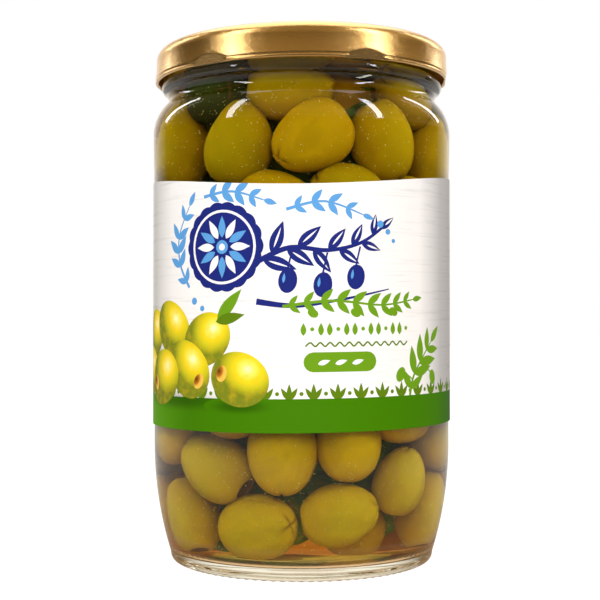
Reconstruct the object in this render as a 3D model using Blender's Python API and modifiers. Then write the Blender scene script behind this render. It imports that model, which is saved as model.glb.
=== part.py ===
"""Shut 720 ml twist-off jar of green olives in brine, with a paper label wrapped round it.

Sizes below are millimetres; MM turns them into the scene's metres. +Z is up, the origin is the centre
of the ring that the jar stands on, and the middle of the label faces -Y. A bearing is an angle round
the jar from -Y, positive towards +X, so that it grows to the right for someone facing the label.
"""

import math
import random

import bmesh
import bpy
import numpy as np
from mathutils import Matrix, Vector

MM = 0.001
MERGE = 0.00002  # metres, for the modifiers that merge

# Turned pieces: facets round the jar, shared by glass, lid and label so that their flats line up
FACETS = 40
FACET_DEG = 360 / FACETS
GAP = 0.3  # between pieces that touch or nest

# Glass, outside
BODY_R = 43.45  # straight side
WALL = 2.4
FOOT_OUT_R, FOOT_IN_R = 36.4, 34.0  # flat ring it stands on
HEEL_R, HEEL_Z = 38.29, 2.8  # where the rounded heel meets the belly's arc
BELLY_ARC, BELLY_Z = 97.0, 34.0  # belly's arc is tangent to the straight side at BELLY_Z
PUSH_UP = 2.9  # height of the hollow under the base
PANEL_R = 42.95  # side is set back here for the label
PANEL_LOW_Z, PANEL_HIGH_Z = 39.5, 110.3
PANEL_STEP = 1.2
SHOULDER_ARC, SHOULDER_Z = 12.6, 122.9  # shoulder's arc is tangent to the side at SHOULDER_Z
SHOULDER_SWEEP = 45.0  # degrees
WAIST_R, WAIST_Z = 39.1, 133.6
BEAD_R, BEAD_Z = 41.0, 137.3
FINISH_R, FINISH_LOW_Z = 39.4, 139.0
RIM_Z, RIM_DROP = 147.9, 0.9

# Glass, inside
BORE_R = 36.6
FLOOR_Z, FLOOR_DOME = 3.9, 2.0
INNER_HEEL_ARC = 4.6
INNER_HEEL_R = 33.3  # centre of the inside corner's arc

# Lid
LID_R, SKIRT_R = 42.85, 42.5  # at the hem and under the rounded edge
CORNER_WIDE, CORNER_HIGH = 3.9, 3.5  # rounded edge
SHEET = 0.5  # thickness
LID_TOP_Z = 148.7
PANEL_TOP_Z = 147.0  # sunken middle
BUTTON_R, BUTTON_DROP = 12.5, 0.5
HEM_LOW_Z = 138.5
HEM_IN_R = 41.2
LUGS = 6
FIRST_LUG = 24.4  # bearing
LUG_WIDTH_DEG = 20.0
LUG_IN_R = FINISH_R + 0.4
LUG_LOW_Z, LUG_HIGH_Z = 139.3, 141.3
DENT_DEPTH, DENT_TOP_Z = 0.66, 142.4

# Label
LABEL_IN_R = PANEL_R + GAP
PAPER = 0.25
LABEL_LOW_Z, LABEL_HIGH_Z = 40.1, 109.65
LABEL_DIP = 4.5  # top edge is lower than that in the middle of the front
LABEL_HALF_STEPS = 19  # facets on each side of the middle; what is left is a gap at the back

# Olives
OLIVE_LONG, OLIVE_WIDE = 21.6, 17.0
OLIVE_TAPER = 0.11  # how much narrower the nose is than the stem end
SHOWN_SIDES, SHOWN_RINGS = 8, 6
HIDDEN_SIDES, HIDDEN_RINGS = 6, 4  # behind the label
CORE_R = 29.0
CORE_LOW_Z, CORE_HIGH_Z = 10.0, 130.0
CORE_SIDES = 20
HEAP_HIGH_Z = 141.0
NECK_MARGIN = 3.0  # olives under the neck keep clear of its edge over this height
HEAP_SEED = 7
WALL_LAYERS, WALL_PER_LAYER = 8, 10
INNER_LAYERS, INNER_PER_LAYER = 8, 4
WALL_RHO, INNER_RHO = 32.0, 13.0
ROUNDS = 400  # of pushing the olives apart
HOLD = 0.2  # how strongly an olive that shows in front keeps its place in each round

# Olives that show at the front, as they lie: bearing, distance from the axis, height, lean of the
# long axis to the right of upright with the nose leading, size against the mean, and tip of the nose
# towards the glass
FRONT_OLIVES = (
    (-68.9, 32, 117.5, 4, 1.06, 0.0),
    (-29.3, 32, 117.0, 14, 1.06, 0.0),
    (3.9, 32, 118.8, 235, 1.05, 0.3),
    (39.5, 32, 117.2, 163, 1.02, 0.15),
    (73.9, 32, 116.8, 5, 1.00, 0.0),
    (-4.0, 22, 131.5, 90, 1.08, 0.0),
    (34.0, 24, 131.5, 95, 1.08, 0.0),
    (-44.0, 18, 131.0, 0, 0.95, 0.0),
    (60.0, 26, 131.5, -60, 0.98, 0.0),
    (-10.3, 32, 101.3, 96, 1.00, 0.0),
    (20.5, 32, 103.4, -58, 1.02, 0.0),
    (55.0, 32, 100.5, 110, 1.00, 0.0),
    (-42.8, 32, 29.8, -58, 1.02, 0.15),
    (-8.2, 32, 33.7, 180, 1.04, 0.0),
    (21.0, 32, 36.8, -2, 1.00, 0.15),
    (49.0, 32, 25.6, 4, 0.89, 0.25),
    (-20.8, 31, 14.2, 82, 1.04, 0.35),
    (18.0, 31, 17.6, 80, 0.97, 0.4),
    (-63.5, 31, 15.5, -24, 1.00, 0.0),
    (-70.0, 32, 38.5, 40, 1.00, 0.0),
    (-31.0, 32, 46.2, 84, 1.00, 0.0),
    (50.0, 32, 43.6, 100, 0.96, 0.0),
    (44.0, 24, 12.0, 120, 0.94, -0.6),
    (76.0, 31, 16.5, 12, 1.00, 0.0),
    (82.0, 32, 37.5, -8, 1.02, 0.0),
)


def spot(bearing_deg, rho, z):
    """A place at a bearing, a distance from the axis and a height, in the same unit."""
    angle = math.radians(bearing_deg)
    return Vector((rho * math.sin(angle), -rho * math.cos(angle), z))


def arc(centre_r, centre_z, radius, start_deg, end_deg, steps):
    """Profile points on an arc; 0 degrees points away from the axis and 90 degrees up."""
    angles = [math.radians(start_deg + (end_deg - start_deg) * i / steps) for i in range(steps + 1)]
    return [(centre_r + radius * math.cos(a), centre_z + radius * math.sin(a)) for a in angles]


def belly_radius(z):
    """Outer radius of the glass at a height between the heel and the shoulder."""
    drop = max(BELLY_Z - z, 0.0)
    return BODY_R - BELLY_ARC + math.sqrt(BELLY_ARC**2 - drop**2)


def outer_profile():
    """The glass from the inner edge of the rim, over it and down the outside to the axis."""
    half_rim = (FINISH_R - BORE_R) / 2
    mid_rim = (FINISH_R + BORE_R) / 2
    over = [math.radians(angle) for angle in (0, 60, 120, 180)]
    rim = [(mid_rim - half_rim * math.cos(a), RIM_Z - RIM_DROP * (1 - math.sin(a))) for a in over]
    bead = [
        (FINISH_R, FINISH_LOW_Z),
        (BEAD_R - 0.7, FINISH_LOW_Z - 0.4),
        (BEAD_R, BEAD_Z + 0.5),
        (BEAD_R, BEAD_Z - 0.5),
        (BEAD_R - 0.4, BEAD_Z - 1.4),
        (BEAD_R - 1.3, BEAD_Z - 2.2),
        (WAIST_R, WAIST_Z),
    ]
    shoulder = arc(BODY_R - SHOULDER_ARC, SHOULDER_Z, SHOULDER_ARC, SHOULDER_SWEEP, 0, 5)
    panel = [
        (BODY_R, PANEL_HIGH_Z + PANEL_STEP),
        (PANEL_R, PANEL_HIGH_Z),
        (PANEL_R, PANEL_LOW_Z),
        (BODY_R, PANEL_LOW_Z - PANEL_STEP),
    ]
    belly_sweep = math.degrees(math.asin((BELLY_Z - HEEL_Z) / BELLY_ARC))
    belly = arc(BODY_R - BELLY_ARC, BELLY_Z, BELLY_ARC, 0, -belly_sweep, 4)
    heel = [(HEEL_R - 0.2, HEEL_Z * 0.55), (HEEL_R - 0.8, HEEL_Z * 0.2), (FOOT_OUT_R, 0)]
    base = [(FOOT_IN_R, 0), (FOOT_IN_R - 1.0, 0.6), (28.0, 1.8), (15.0, PUSH_UP - 0.3), (0, PUSH_UP)]
    return rim + bead + shoulder + panel + belly + heel + base


def inner_profile():
    """The glass from the middle of its floor, out and up the inside to just below the rim."""
    floor = [(0, FLOOR_Z + FLOOR_DOME), (18, FLOOR_Z + FLOOR_DOME * 0.62)]
    corner = arc(INNER_HEEL_R, FLOOR_Z + INNER_HEEL_ARC, INNER_HEEL_ARC, -90, -10, 4)
    belly = [(belly_radius(z) - WALL, z) for z in (17.0, 25.0, BELLY_Z)]
    shoulder = arc(BODY_R - SHOULDER_ARC, SHOULDER_Z, SHOULDER_ARC - WALL, 0, SHOULDER_SWEEP, 4)
    return floor + corner + belly + shoulder + [(BORE_R, WAIST_Z - 0.5)]


def lid_corner(inset, angles):
    """Points on the lid's rounded edge, or that far inside it; 0 degrees is at the top of the skirt."""
    wide, high = CORNER_WIDE - inset, CORNER_HIGH - inset
    middle_r, middle_z = SKIRT_R - CORNER_WIDE, LID_TOP_Z - CORNER_HIGH
    turns = [math.radians(angle) for angle in angles]
    return [(middle_r + wide * math.cos(a), middle_z + high * math.sin(a)) for a in turns]


def lid_profile():
    """Section of the lid's sheet, from the middle over the top and down, then back up inside."""
    top = [
        (0, PANEL_TOP_Z - BUTTON_DROP),
        (BUTTON_R - 3.0, PANEL_TOP_Z - BUTTON_DROP),
        (BUTTON_R, PANEL_TOP_Z),
        (35.2, PANEL_TOP_Z),
        (36.9, LID_TOP_Z - 0.3),
    ]
    hem = [
        (LID_R, HEM_LOW_Z + 0.9),
        (LID_R - 0.4, HEM_LOW_Z),
        (HEM_IN_R + 0.3, HEM_LOW_Z),
        (HEM_IN_R, HEM_LOW_Z + 0.8),
        (LID_R - SHEET, HEM_LOW_Z + 1.5),
    ]
    inside = [
        (37.3, LID_TOP_Z - SHEET - 0.3),
        (35.4, PANEL_TOP_Z - SHEET),
        (BUTTON_R + 0.2, PANEL_TOP_Z - SHEET),
        (BUTTON_R - 3.0, PANEL_TOP_Z - SHEET - BUTTON_DROP),
        (0, PANEL_TOP_Z - SHEET - BUTTON_DROP),
    ]
    return top + lid_corner(0, (90, 60, 30, 0)) + hem + lid_corner(SHEET, (0, 45, 90)) + inside


def floor_under(rho):
    """Lowest height that an olive may reach at a distance from the axis, clear of the domed floor."""
    return FLOOR_Z + FLOOR_DOME * np.clip(1.5 * (1 - rho / INNER_HEEL_R), 0.0, 1.0) + GAP


def heap_radius(z):
    """Largest distance from the axis that an olive may reach at a height, clear of the glass."""
    profile = [(r, height) for r, height in inner_profile()[2:]] + [(BORE_R, RIM_Z)]
    return np.interp(z, [p[1] for p in profile], [p[0] for p in profile]) - GAP


def collection(name):
    """A new collection in the scene."""
    made = bpy.data.collections.new(name)
    bpy.context.scene.collection.children.link(made)
    return made


def add_mesh_object(name, bm, group):
    """An object made from a bmesh, in a collection."""
    mesh = bpy.data.meshes.new(name)
    bm.to_mesh(mesh)
    bm.free()
    made = bpy.data.objects.new(name, mesh)
    group.objects.link(made)
    return made


def hide_helper(made):
    """Mark an object as one that only cuts or joins."""
    made.hide_render = True
    made.display_type = "WIRE"


def finish(made, colour, roughness, metallic=0.0, transmission=0.0):
    """Give an object its own Principled material, and smooth shading between sharp edges."""
    material = bpy.data.materials.new(made.name)
    material.use_nodes = True
    shader = material.node_tree.nodes["Principled BSDF"]
    shader.inputs["Base Color"].default_value = (*colour, 1.0)
    shader.inputs["Roughness"].default_value = roughness
    shader.inputs["Metallic"].default_value = metallic
    shader.inputs["Transmission Weight"].default_value = transmission
    made.data.materials.clear()
    made.data.materials.append(material)
    made.data.shade_smooth()
    made.data.set_sharp_from_angle(angle=math.radians(35))


def turned(name, profile, group):
    """A solid of revolution: a profile in the XZ plane with a Screw modifier."""
    bm = bmesh.new()
    points = [bm.verts.new((r * MM, 0, z * MM)) for r, z in profile]
    for upper, lower in zip(points, points[1:]):
        bm.edges.new((upper, lower))
    made = add_mesh_object(name, bm, group)
    screw = made.modifiers.new("turn", "SCREW")
    screw.axis = "Z"
    screw.angle = math.tau
    screw.steps = FACETS
    screw.render_steps = FACETS
    screw.use_merge_vertices = True
    screw.merge_threshold = MERGE
    return made


def join(made, helper, operation):
    """Add or cut a helper object with a Boolean modifier."""
    boolean = made.modifiers.new(helper.name, "BOOLEAN")
    boolean.operation = operation
    boolean.object = helper
    hide_helper(helper)


def make_glass(group):
    """The jar itself, one turned piece."""
    glass = turned("jar_glass", inner_profile() + outer_profile(), group)
    finish(glass, (0.86, 0.90, 0.87), 0.05, transmission=0.9)


def make_lugs(group):
    """Blocks behind the skirt that hook under the glass's thread, as one helper object."""
    bm = bmesh.new()
    for i in range(LUGS):
        start = FIRST_LUG + i * 360 / LUGS - LUG_WIDTH_DEG / 2
        outer = LID_R - SHEET / 2
        corners = [(LUG_IN_R, LUG_LOW_Z), (outer, LUG_LOW_Z), (outer, LUG_HIGH_Z), (LUG_IN_R, LUG_HIGH_Z)]
        points = [bm.verts.new(spot(start, r, z) * MM) for r, z in corners]
        face = bm.faces.new(points)
        bmesh.ops.spin(
            bm,
            geom=points + list(face.edges) + [face],
            cent=(0, 0, 0),
            axis=(0, 0, 1),
            angle=math.radians(LUG_WIDTH_DEG),
            steps=3,
            use_duplicate=False,
        )
    bmesh.ops.recalc_face_normals(bm, faces=bm.faces)
    return add_mesh_object("lugs", bm, group)


def make_dents(group):
    """Blocks that flatten the skirt in front of each lug, as one helper object."""
    bm = bmesh.new()
    deep, wide, high = 4.0, 24.0, 12.0
    run = DENT_TOP_Z - HEM_LOW_Z
    tilt = math.atan2(DENT_DEPTH, run)
    for i in range(LUGS):
        bearing = math.radians(FIRST_LUG + i * 360 / LUGS)
        place = (
            Matrix.Rotation(bearing, 4, "Z")
            @ Matrix.Translation(Vector((0, -LID_R, DENT_TOP_Z)) * MM)
            @ Matrix.Rotation(tilt, 4, "X")
            @ Matrix.Translation(Vector((0, -deep / 2, 0)) * MM)
            @ Matrix.Diagonal((wide * MM, deep * MM, high * MM, 1))
        )
        bmesh.ops.create_cube(bm, size=1.0, matrix=place)
    return add_mesh_object("dents", bm, group)


def make_lid(group, helpers):
    """Twist-off cap: pressed sheet with a rolled hem, six lugs and a safety button."""
    lid = turned("lid", lid_profile(), group)
    join(lid, make_lugs(helpers), "UNION")
    join(lid, make_dents(helpers), "DIFFERENCE")
    finish(lid, (0.78, 0.52, 0.20), 0.3, metallic=1.0)


def label_top(bearing_deg):
    """Height of the label's top edge, which dips a little across the front."""
    return LABEL_HIGH_Z - LABEL_DIP * max(math.cos(math.radians(bearing_deg)), 0.0) ** 2


def make_label(group):
    """Paper sheet wrapped round the side, thickened outwards."""
    bm = bmesh.new()
    columns = []
    for step in range(-LABEL_HALF_STEPS, LABEL_HALF_STEPS + 1):
        bearing = step * FACET_DEG
        low = bm.verts.new(spot(bearing, LABEL_IN_R, LABEL_LOW_Z) * MM)
        high = bm.verts.new(spot(bearing, LABEL_IN_R, label_top(bearing)) * MM)
        columns.append((low, high))
    for (low, high), (next_low, next_high) in zip(columns, columns[1:]):
        bm.faces.new((low, next_low, next_high, high))
    label = add_mesh_object("label", bm, group)
    solidify = label.modifiers.new("paper", "SOLIDIFY")
    solidify.thickness = PAPER * MM
    solidify.offset = 1.0
    solidify.use_even_offset = True
    finish(label, (0.85, 0.86, 0.84), 0.6)


def heap_starts():
    """Rough first places of all the olives: position, long axis, size and whether it shows in front."""
    draw = random.Random(HEAP_SEED)
    starts = []
    for bearing, rho, height, lean, size, tip in FRONT_OLIVES:
        up = Vector((0, 0, 1)) * math.cos(math.radians(lean))
        across = spot(bearing + 90, 1, 0) * math.sin(math.radians(lean))
        long_axis = (up + across + spot(bearing, 1, 0) * tip).normalized()
        starts.append((spot(bearing, rho, height), long_axis, size, True))
    layers = [(WALL_LAYERS, WALL_PER_LAYER, WALL_RHO), (INNER_LAYERS, INNER_PER_LAYER, INNER_RHO)]
    for count, around, rho in layers:
        for layer in range(count):
            height = 15 + layer * (HEAP_HIGH_Z - 24) / (count - 1)
            turn = draw.uniform(0, 360)
            for i in range(around):
                bearing = turn + i * 360 / around + draw.uniform(-5, 5)
                place = spot(bearing, rho, height + draw.uniform(-4, 4))
                lean = draw.uniform(0, 360)
                tip = draw.uniform(-0.4, 0.4)
                long_axis = (
                    Vector((0, 0, 1)) * math.cos(math.radians(lean))
                    + spot(bearing + 90, 1, 0) * math.sin(math.radians(lean))
                    + spot(bearing, 1, 0) * tip
                )
                size = draw.uniform(0.93, 1.07)
                if all((place - other).length > 13.5 for other, _, _, shown in starts if shown):
                    starts.append((place, long_axis.normalized(), size, False))
    return starts


def settle_heap():
    """Push the olives apart and off the glass until they lie against each other.

    Each olive counts as three balls along its long axis. Those that show in front keep their places.
    """
    starts = heap_starts()
    place = np.array([tuple(s[0]) for s in starts])
    axis = np.array([tuple(s[1]) for s in starts])
    size = np.array([s[2] for s in starts])
    held = np.array([s[3] for s in starts])
    outer = np.hypot(place[:, 0], place[:, 1]) > WALL_RHO - 2
    first_axis = axis.copy()
    first_z = place[:, 2].copy()
    first_way = place * (1, 1, 0) / np.hypot(place[:, 0], place[:, 1])[:, None]
    half, wide = OLIVE_LONG / 2, OLIVE_WIDE / 2
    nose_r, stem_r = wide * 0.62, wide * 0.74
    along = np.outer(size, (nose_r - half, 0.0, half - nose_r))
    along[:, 0] = size * (stem_r - half)
    ball = np.outer(size, (stem_r, wide, nose_r))
    own = np.repeat(np.arange(len(starts)), 3)
    apart = own[:, None] != own[None, :]
    reach = ball.ravel()[:, None] + ball.ravel()[None, :]
    for _ in range(ROUNDS):
        centres = place[:, None, :] + axis[:, None, :] * along[:, :, None]
        flat = centres.reshape(-1, 3)
        between = flat[:, None, :] - flat[None, :, :]
        distance = np.sqrt((between**2).sum(axis=2)) + 1e-9
        overlap = np.where(apart, np.maximum(reach - distance, 0.0), 0.0)
        push = (between * (overlap / distance)[:, :, None]).sum(axis=1) * 0.4
        radius = ball.ravel()
        rho = np.hypot(flat[:, 0], flat[:, 1]) + 1e-9
        for lift in (-0.9, -0.5, 0.0, 0.5, 0.9):
            slice_r = radius * math.sqrt(1 - lift**2)
            excess = np.maximum(rho + slice_r - heap_radius(flat[:, 2] + lift * radius), 0.0)
            push[:, 0] -= 0.45 * excess * flat[:, 0] / rho
            push[:, 1] -= 0.45 * excess * flat[:, 1] / rho
            push[:, 2] -= 0.2 * excess * lift
        push[:, 2] += np.maximum(floor_under(rho) + radius - flat[:, 2], 0.0)
        push[:, 2] -= np.maximum(flat[:, 2] + radius - HEAP_HIGH_Z, 0.0)
        push = push.reshape(-1, 3, 3)
        place += push.sum(axis=1) * 0.5
        turn = np.cross(axis[:, None, :] * along[:, :, None], push).sum(axis=1) / (half * wide) * 1.6
        axis += np.cross(turn, axis)
        rho = np.hypot(place[:, 0], place[:, 1])[:, None]
        outward = place * (1, 1, 0) / (rho + 1e-9)
        place += np.where(outer[:, None], 0.06 * outward, 0.0)
        home = first_way * rho
        home[:, 2] = first_z
        place += np.where(held[:, None], HOLD * (home - place), 0.0)
        axis += np.where(held[:, None], HOLD * (first_axis - axis), 0.0)
        axis /= np.sqrt((axis**2).sum(axis=1))[:, None]
    return [(Vector(p), Vector(a), float(s)) for p, a, s in zip(place, axis, size)]


def keep_inside(bm):
    """Press any point that passes the inside of the glass back onto it."""
    for vert in bm.verts:
        x, y, z = vert.co / MM
        rho = math.hypot(x, y)
        z = min(max(z, floor_under(rho)), HEAP_HIGH_Z)
        limit = float(min(heap_radius(z), heap_radius(z + NECK_MARGIN)))
        shrink = min(1.0, limit / rho) if rho > 0 else 1.0
        vert.co = Vector((x * shrink, y * shrink, z)) * MM


def behind_label(place):
    """True for an olive that the label hides."""
    bearing = math.degrees(math.atan2(place.x, -place.y))
    margin = OLIVE_WIDE * 0.4
    in_height = LABEL_LOW_Z + margin < place.z < LABEL_HIGH_Z - LABEL_DIP - margin
    return in_height and abs(bearing) < LABEL_HALF_STEPS * FACET_DEG - 15


def make_olive(place, long_axis, size, group):
    """One olive: an egg, a little narrower at the nose."""
    sides, rings = (HIDDEN_SIDES, HIDDEN_RINGS) if behind_label(place) else (SHOWN_SIDES, SHOWN_RINGS)
    bm = bmesh.new()
    bmesh.ops.create_uvsphere(bm, u_segments=sides, v_segments=rings, radius=1.0)
    for vert in bm.verts:
        width = OLIVE_WIDE / 2 * (1 - OLIVE_TAPER * vert.co.z)
        vert.co = Vector((vert.co.x * width, vert.co.y * width, vert.co.z * OLIVE_LONG / 2)) * size * MM
    turn = Vector((0, 0, 1)).rotation_difference(long_axis).to_matrix().to_4x4()
    bm.transform(Matrix.Translation(place * MM) @ turn)
    keep_inside(bm)
    return add_mesh_object("olive", bm, group)


def make_heap(group, helpers):
    """All the olives as one solid: a core with those that show fused on."""
    pieces = collection("loose olives")
    for place, long_axis, size in settle_heap():
        rho = math.hypot(place.x, place.y)
        if rho > CORE_R - 6 or place.z < CORE_LOW_Z + 8 or place.z > CORE_HIGH_Z - 8:
            make_olive(place, long_axis, size, pieces)
    bm = bmesh.new()
    bmesh.ops.create_cone(
        bm,
        cap_ends=True,
        segments=CORE_SIDES,
        radius1=CORE_R * MM,
        radius2=CORE_R * MM,
        depth=(CORE_HIGH_Z - CORE_LOW_Z) * MM,
        matrix=Matrix.Translation((0, 0, (CORE_HIGH_Z + CORE_LOW_Z) / 2 * MM)),
    )
    core = add_mesh_object("core", bm, helpers)
    union = core.modifiers.new("olives", "BOOLEAN")
    union.operation = "UNION"
    union.operand_type = "COLLECTION"
    union.collection = pieces
    bpy.context.view_layer.update()
    evaluated = core.evaluated_get(bpy.context.evaluated_depsgraph_get())
    bm = bmesh.new()
    bm.from_mesh(bpy.data.meshes.new_from_object(evaluated))
    keep_largest_shell(bm)
    for loose in list(pieces.objects) + [core]:
        bpy.data.objects.remove(loose)
    bpy.data.collections.remove(pieces)
    heap = add_mesh_object("olives", bm, group)
    finish(heap, (0.36, 0.30, 0.03), 0.35)


def keep_largest_shell(bm):
    """Drop sealed hollows and loose scraps: every connected shell but the one with the most faces."""
    unseen = set(bm.faces)
    shells = []
    while unseen:
        start = unseen.pop()
        shell, front = [start], [start]
        while front:
            for edge in front.pop().edges:
                fresh = [face for face in edge.link_faces if face in unseen]
                unseen.difference_update(fresh)
                shell.extend(fresh)
                front.extend(fresh)
        shells.append(shell)
    shells.sort(key=len)
    for shell in shells[:-1]:
        bmesh.ops.delete(bm, geom=shell, context="FACES")


def main():
    """Clear the scene and build the jar."""
    for old in list(bpy.data.objects):
        bpy.data.objects.remove(old)
    group = collection("jar of olives")
    helpers = collection("cutters")
    make_glass(group)
    make_lid(group, helpers)
    make_label(group)
    make_heap(group, helpers)


main()
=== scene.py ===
"""Looks of a shut jar of green olives in brine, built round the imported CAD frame.

Sizes are millimetres; MM turns them into the scene's metres. +Z is up, the jar stands on its foot at
the origin, and the middle of its label faces -Y. A bearing is an angle round the jar from -Y, positive
towards +X.
"""

from __future__ import annotations

import logging
import math
import random
from dataclasses import dataclass, field
from enum import Enum
from itertools import product

import bpy
import numpy as np
from mathutils import Matrix, Vector
from mathutils.geometry import delaunay_2d_cdt

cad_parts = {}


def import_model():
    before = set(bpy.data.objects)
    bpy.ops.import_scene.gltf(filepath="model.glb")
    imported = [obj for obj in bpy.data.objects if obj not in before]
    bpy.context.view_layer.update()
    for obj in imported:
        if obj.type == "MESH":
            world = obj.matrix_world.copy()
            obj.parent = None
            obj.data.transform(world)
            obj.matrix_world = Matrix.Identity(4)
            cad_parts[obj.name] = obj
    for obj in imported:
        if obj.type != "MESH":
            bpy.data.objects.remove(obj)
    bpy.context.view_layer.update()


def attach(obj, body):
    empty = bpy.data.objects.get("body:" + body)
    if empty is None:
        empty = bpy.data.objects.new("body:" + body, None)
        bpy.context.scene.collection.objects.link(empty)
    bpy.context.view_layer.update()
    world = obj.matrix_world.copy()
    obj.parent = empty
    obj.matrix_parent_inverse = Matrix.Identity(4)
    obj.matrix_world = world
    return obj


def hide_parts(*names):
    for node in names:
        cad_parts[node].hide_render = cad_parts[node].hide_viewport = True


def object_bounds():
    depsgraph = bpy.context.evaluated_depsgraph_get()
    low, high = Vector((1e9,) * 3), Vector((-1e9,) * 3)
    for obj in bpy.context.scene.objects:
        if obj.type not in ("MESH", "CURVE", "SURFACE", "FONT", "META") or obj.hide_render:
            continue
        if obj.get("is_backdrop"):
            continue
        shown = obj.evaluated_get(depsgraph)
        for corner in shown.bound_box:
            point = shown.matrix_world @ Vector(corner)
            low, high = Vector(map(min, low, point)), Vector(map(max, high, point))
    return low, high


log = logging.getLogger("jar of olives")

MM = 0.001
GAP = 0.3  # between the pieces that nest
FACETS = 40  # the CAD solids' flats round the jar

Point = tuple[float, float]
Profile = list[Point]
Socket = bpy.types.NodeSocket
Stops = tuple[tuple[float, str], ...]  # places on a colour ramp and their sRGB colours


def linear(code: str) -> tuple[float, float, float, float]:
    """Turn an sRGB hex colour into linear light.

    Args:
        code: A colour such as "#8A8230".

    Returns:
        Red, green, blue and an alpha of 1.
    """
    parts = [int(code[i : i + 2], 16) / 255 for i in (1, 3, 5)]
    bright = [c / 12.92 if c <= 0.04045 else ((c + 0.055) / 1.055) ** 2.4 for c in parts]
    return (bright[0], bright[1], bright[2], 1.0)


def add_node(
    tree: bpy.types.NodeTree,
    kind: str,
    settings: dict | None = None,
    inputs: dict | None = None,
    stops: Stops | None = None,
) -> bpy.types.Node:
    """Add a node with its settings and links.

    Args:
        tree: The node tree that gets the node.
        kind: The node's Blender type.
        settings: Properties to set on the node.
        inputs: Socket name or number to a value, or to the output socket that feeds it.
        stops: Places and colours of a colour ramp.

    Returns:
        The new node.
    """
    node = tree.nodes.new(kind)
    for key, value in (settings or {}).items():
        setattr(node, key, value)
    for key, value in (inputs or {}).items():
        if isinstance(value, bpy.types.NodeSocket):
            tree.links.new(value, node.inputs[key])
        else:
            node.inputs[key].default_value = value
    if stops:
        ramp = node.color_ramp
        while len(ramp.elements) < len(stops):
            ramp.elements.new(1.0)
        for element, (place, colour) in zip(ramp.elements, stops):
            element.position = place
            element.color = linear(colour)
    return node


def arc(centre_r: float, centre_z: float, radius: float, start: float, end: float, steps: int) -> Profile:
    """Points on an arc of a profile.

    Args:
        centre_r: The centre's distance from the axis.
        centre_z: The centre's height.
        radius: The arc's radius.
        start: First angle in degrees; 0 points away from the axis and 90 up.
        end: Last angle in degrees.
        steps: How many stretches the arc is cut into.

    Returns:
        The points from start to end.
    """
    angles = [math.radians(start + (end - start) * i / steps) for i in range(steps + 1)]
    return [(centre_r + radius * math.cos(a), centre_z + radius * math.sin(a)) for a in angles]


def smooth_line(points: Profile, steps: int) -> Profile:
    """A Catmull-Rom curve through some points.

    Args:
        points: The points that the curve passes.
        steps: Stretches between two of them.

    Returns:
        The curve's points.
    """

    def between(p: float, q: float, r: float, s: float, t: float) -> float:
        square, cube = 2 * p - 5 * q + 4 * r - s, 3 * q - p - 3 * r + s
        return 0.5 * (2 * q + (r - p) * t + square * t**2 + cube * t**3)

    padded = [points[0], *points, points[-1]]
    curve = []
    for four in zip(padded, padded[1:], padded[2:], padded[3:]):
        curve.extend(tuple(between(*ends, i / steps) for ends in zip(*four)) for i in range(steps))
    return [*curve, points[-1]]


def spot(bearing: float, rho: float, z: float) -> Vector:
    """The place at a bearing in degrees, a distance from the axis and a height."""
    angle = math.radians(bearing)
    return Vector((rho * math.sin(angle), -rho * math.cos(angle), z))


def way(degrees: float) -> Point:
    """Cosine and sine of an angle in degrees."""
    angle = math.radians(degrees)
    return math.cos(angle), math.sin(angle)


def round_the_axis(verts: np.ndarray) -> tuple[np.ndarray, np.ndarray]:
    """Each point's distance from the Z axis and its angle round it."""
    return np.hypot(verts[:, 0], verts[:, 1]), np.arctan2(verts[:, 1], verts[:, 0])


def make_object(name: str, verts: np.ndarray, faces: list, materials: list) -> bpy.types.Object:
    """A mesh object from points in millimetres.

    Args:
        name: The piece's name.
        verts: One row of x, y and z for each point.
        faces: Point numbers of each face.
        materials: Materials for the slots.

    Returns:
        The object, smooth between its sharp edges.
    """
    mesh = bpy.data.meshes.new(name)
    mesh.from_pydata((np.asarray(verts) * MM).tolist(), [], faces)
    mesh.validate()
    for material in materials:
        mesh.materials.append(material)
    mesh.shade_smooth()
    made = bpy.data.objects.new(name, mesh)
    bpy.context.scene.collection.objects.link(made)
    return made


def turn(profile: Profile, steps: int) -> tuple[np.ndarray, list]:
    """Turn a profile round the Z axis.

    Args:
        profile: Distances from the axis and heights, running down the outer side.
        steps: Columns round the axis.

    Returns:
        The points and the faces. A profile point on the axis is one point.
    """
    verts: list = []
    rings: list = []
    angles = np.arange(steps) * math.tau / steps
    for r, z in profile:
        first = len(verts)
        if r < 1e-6:
            verts.append((0.0, 0.0, z))
            rings.append([first] * steps)
        else:
            verts.extend(zip(r * np.cos(angles), r * np.sin(angles), np.full(steps, z)))
            rings.append(list(range(first, first + steps)))
    faces = []
    for upper, lower in zip(rings, rings[1:]):
        for i in range(steps):
            j = (i + 1) % steps
            corners = (upper[i], lower[i], lower[j], upper[j])
            faces.append(tuple(dict.fromkeys(corners)))
    return np.array(verts), faces


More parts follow.
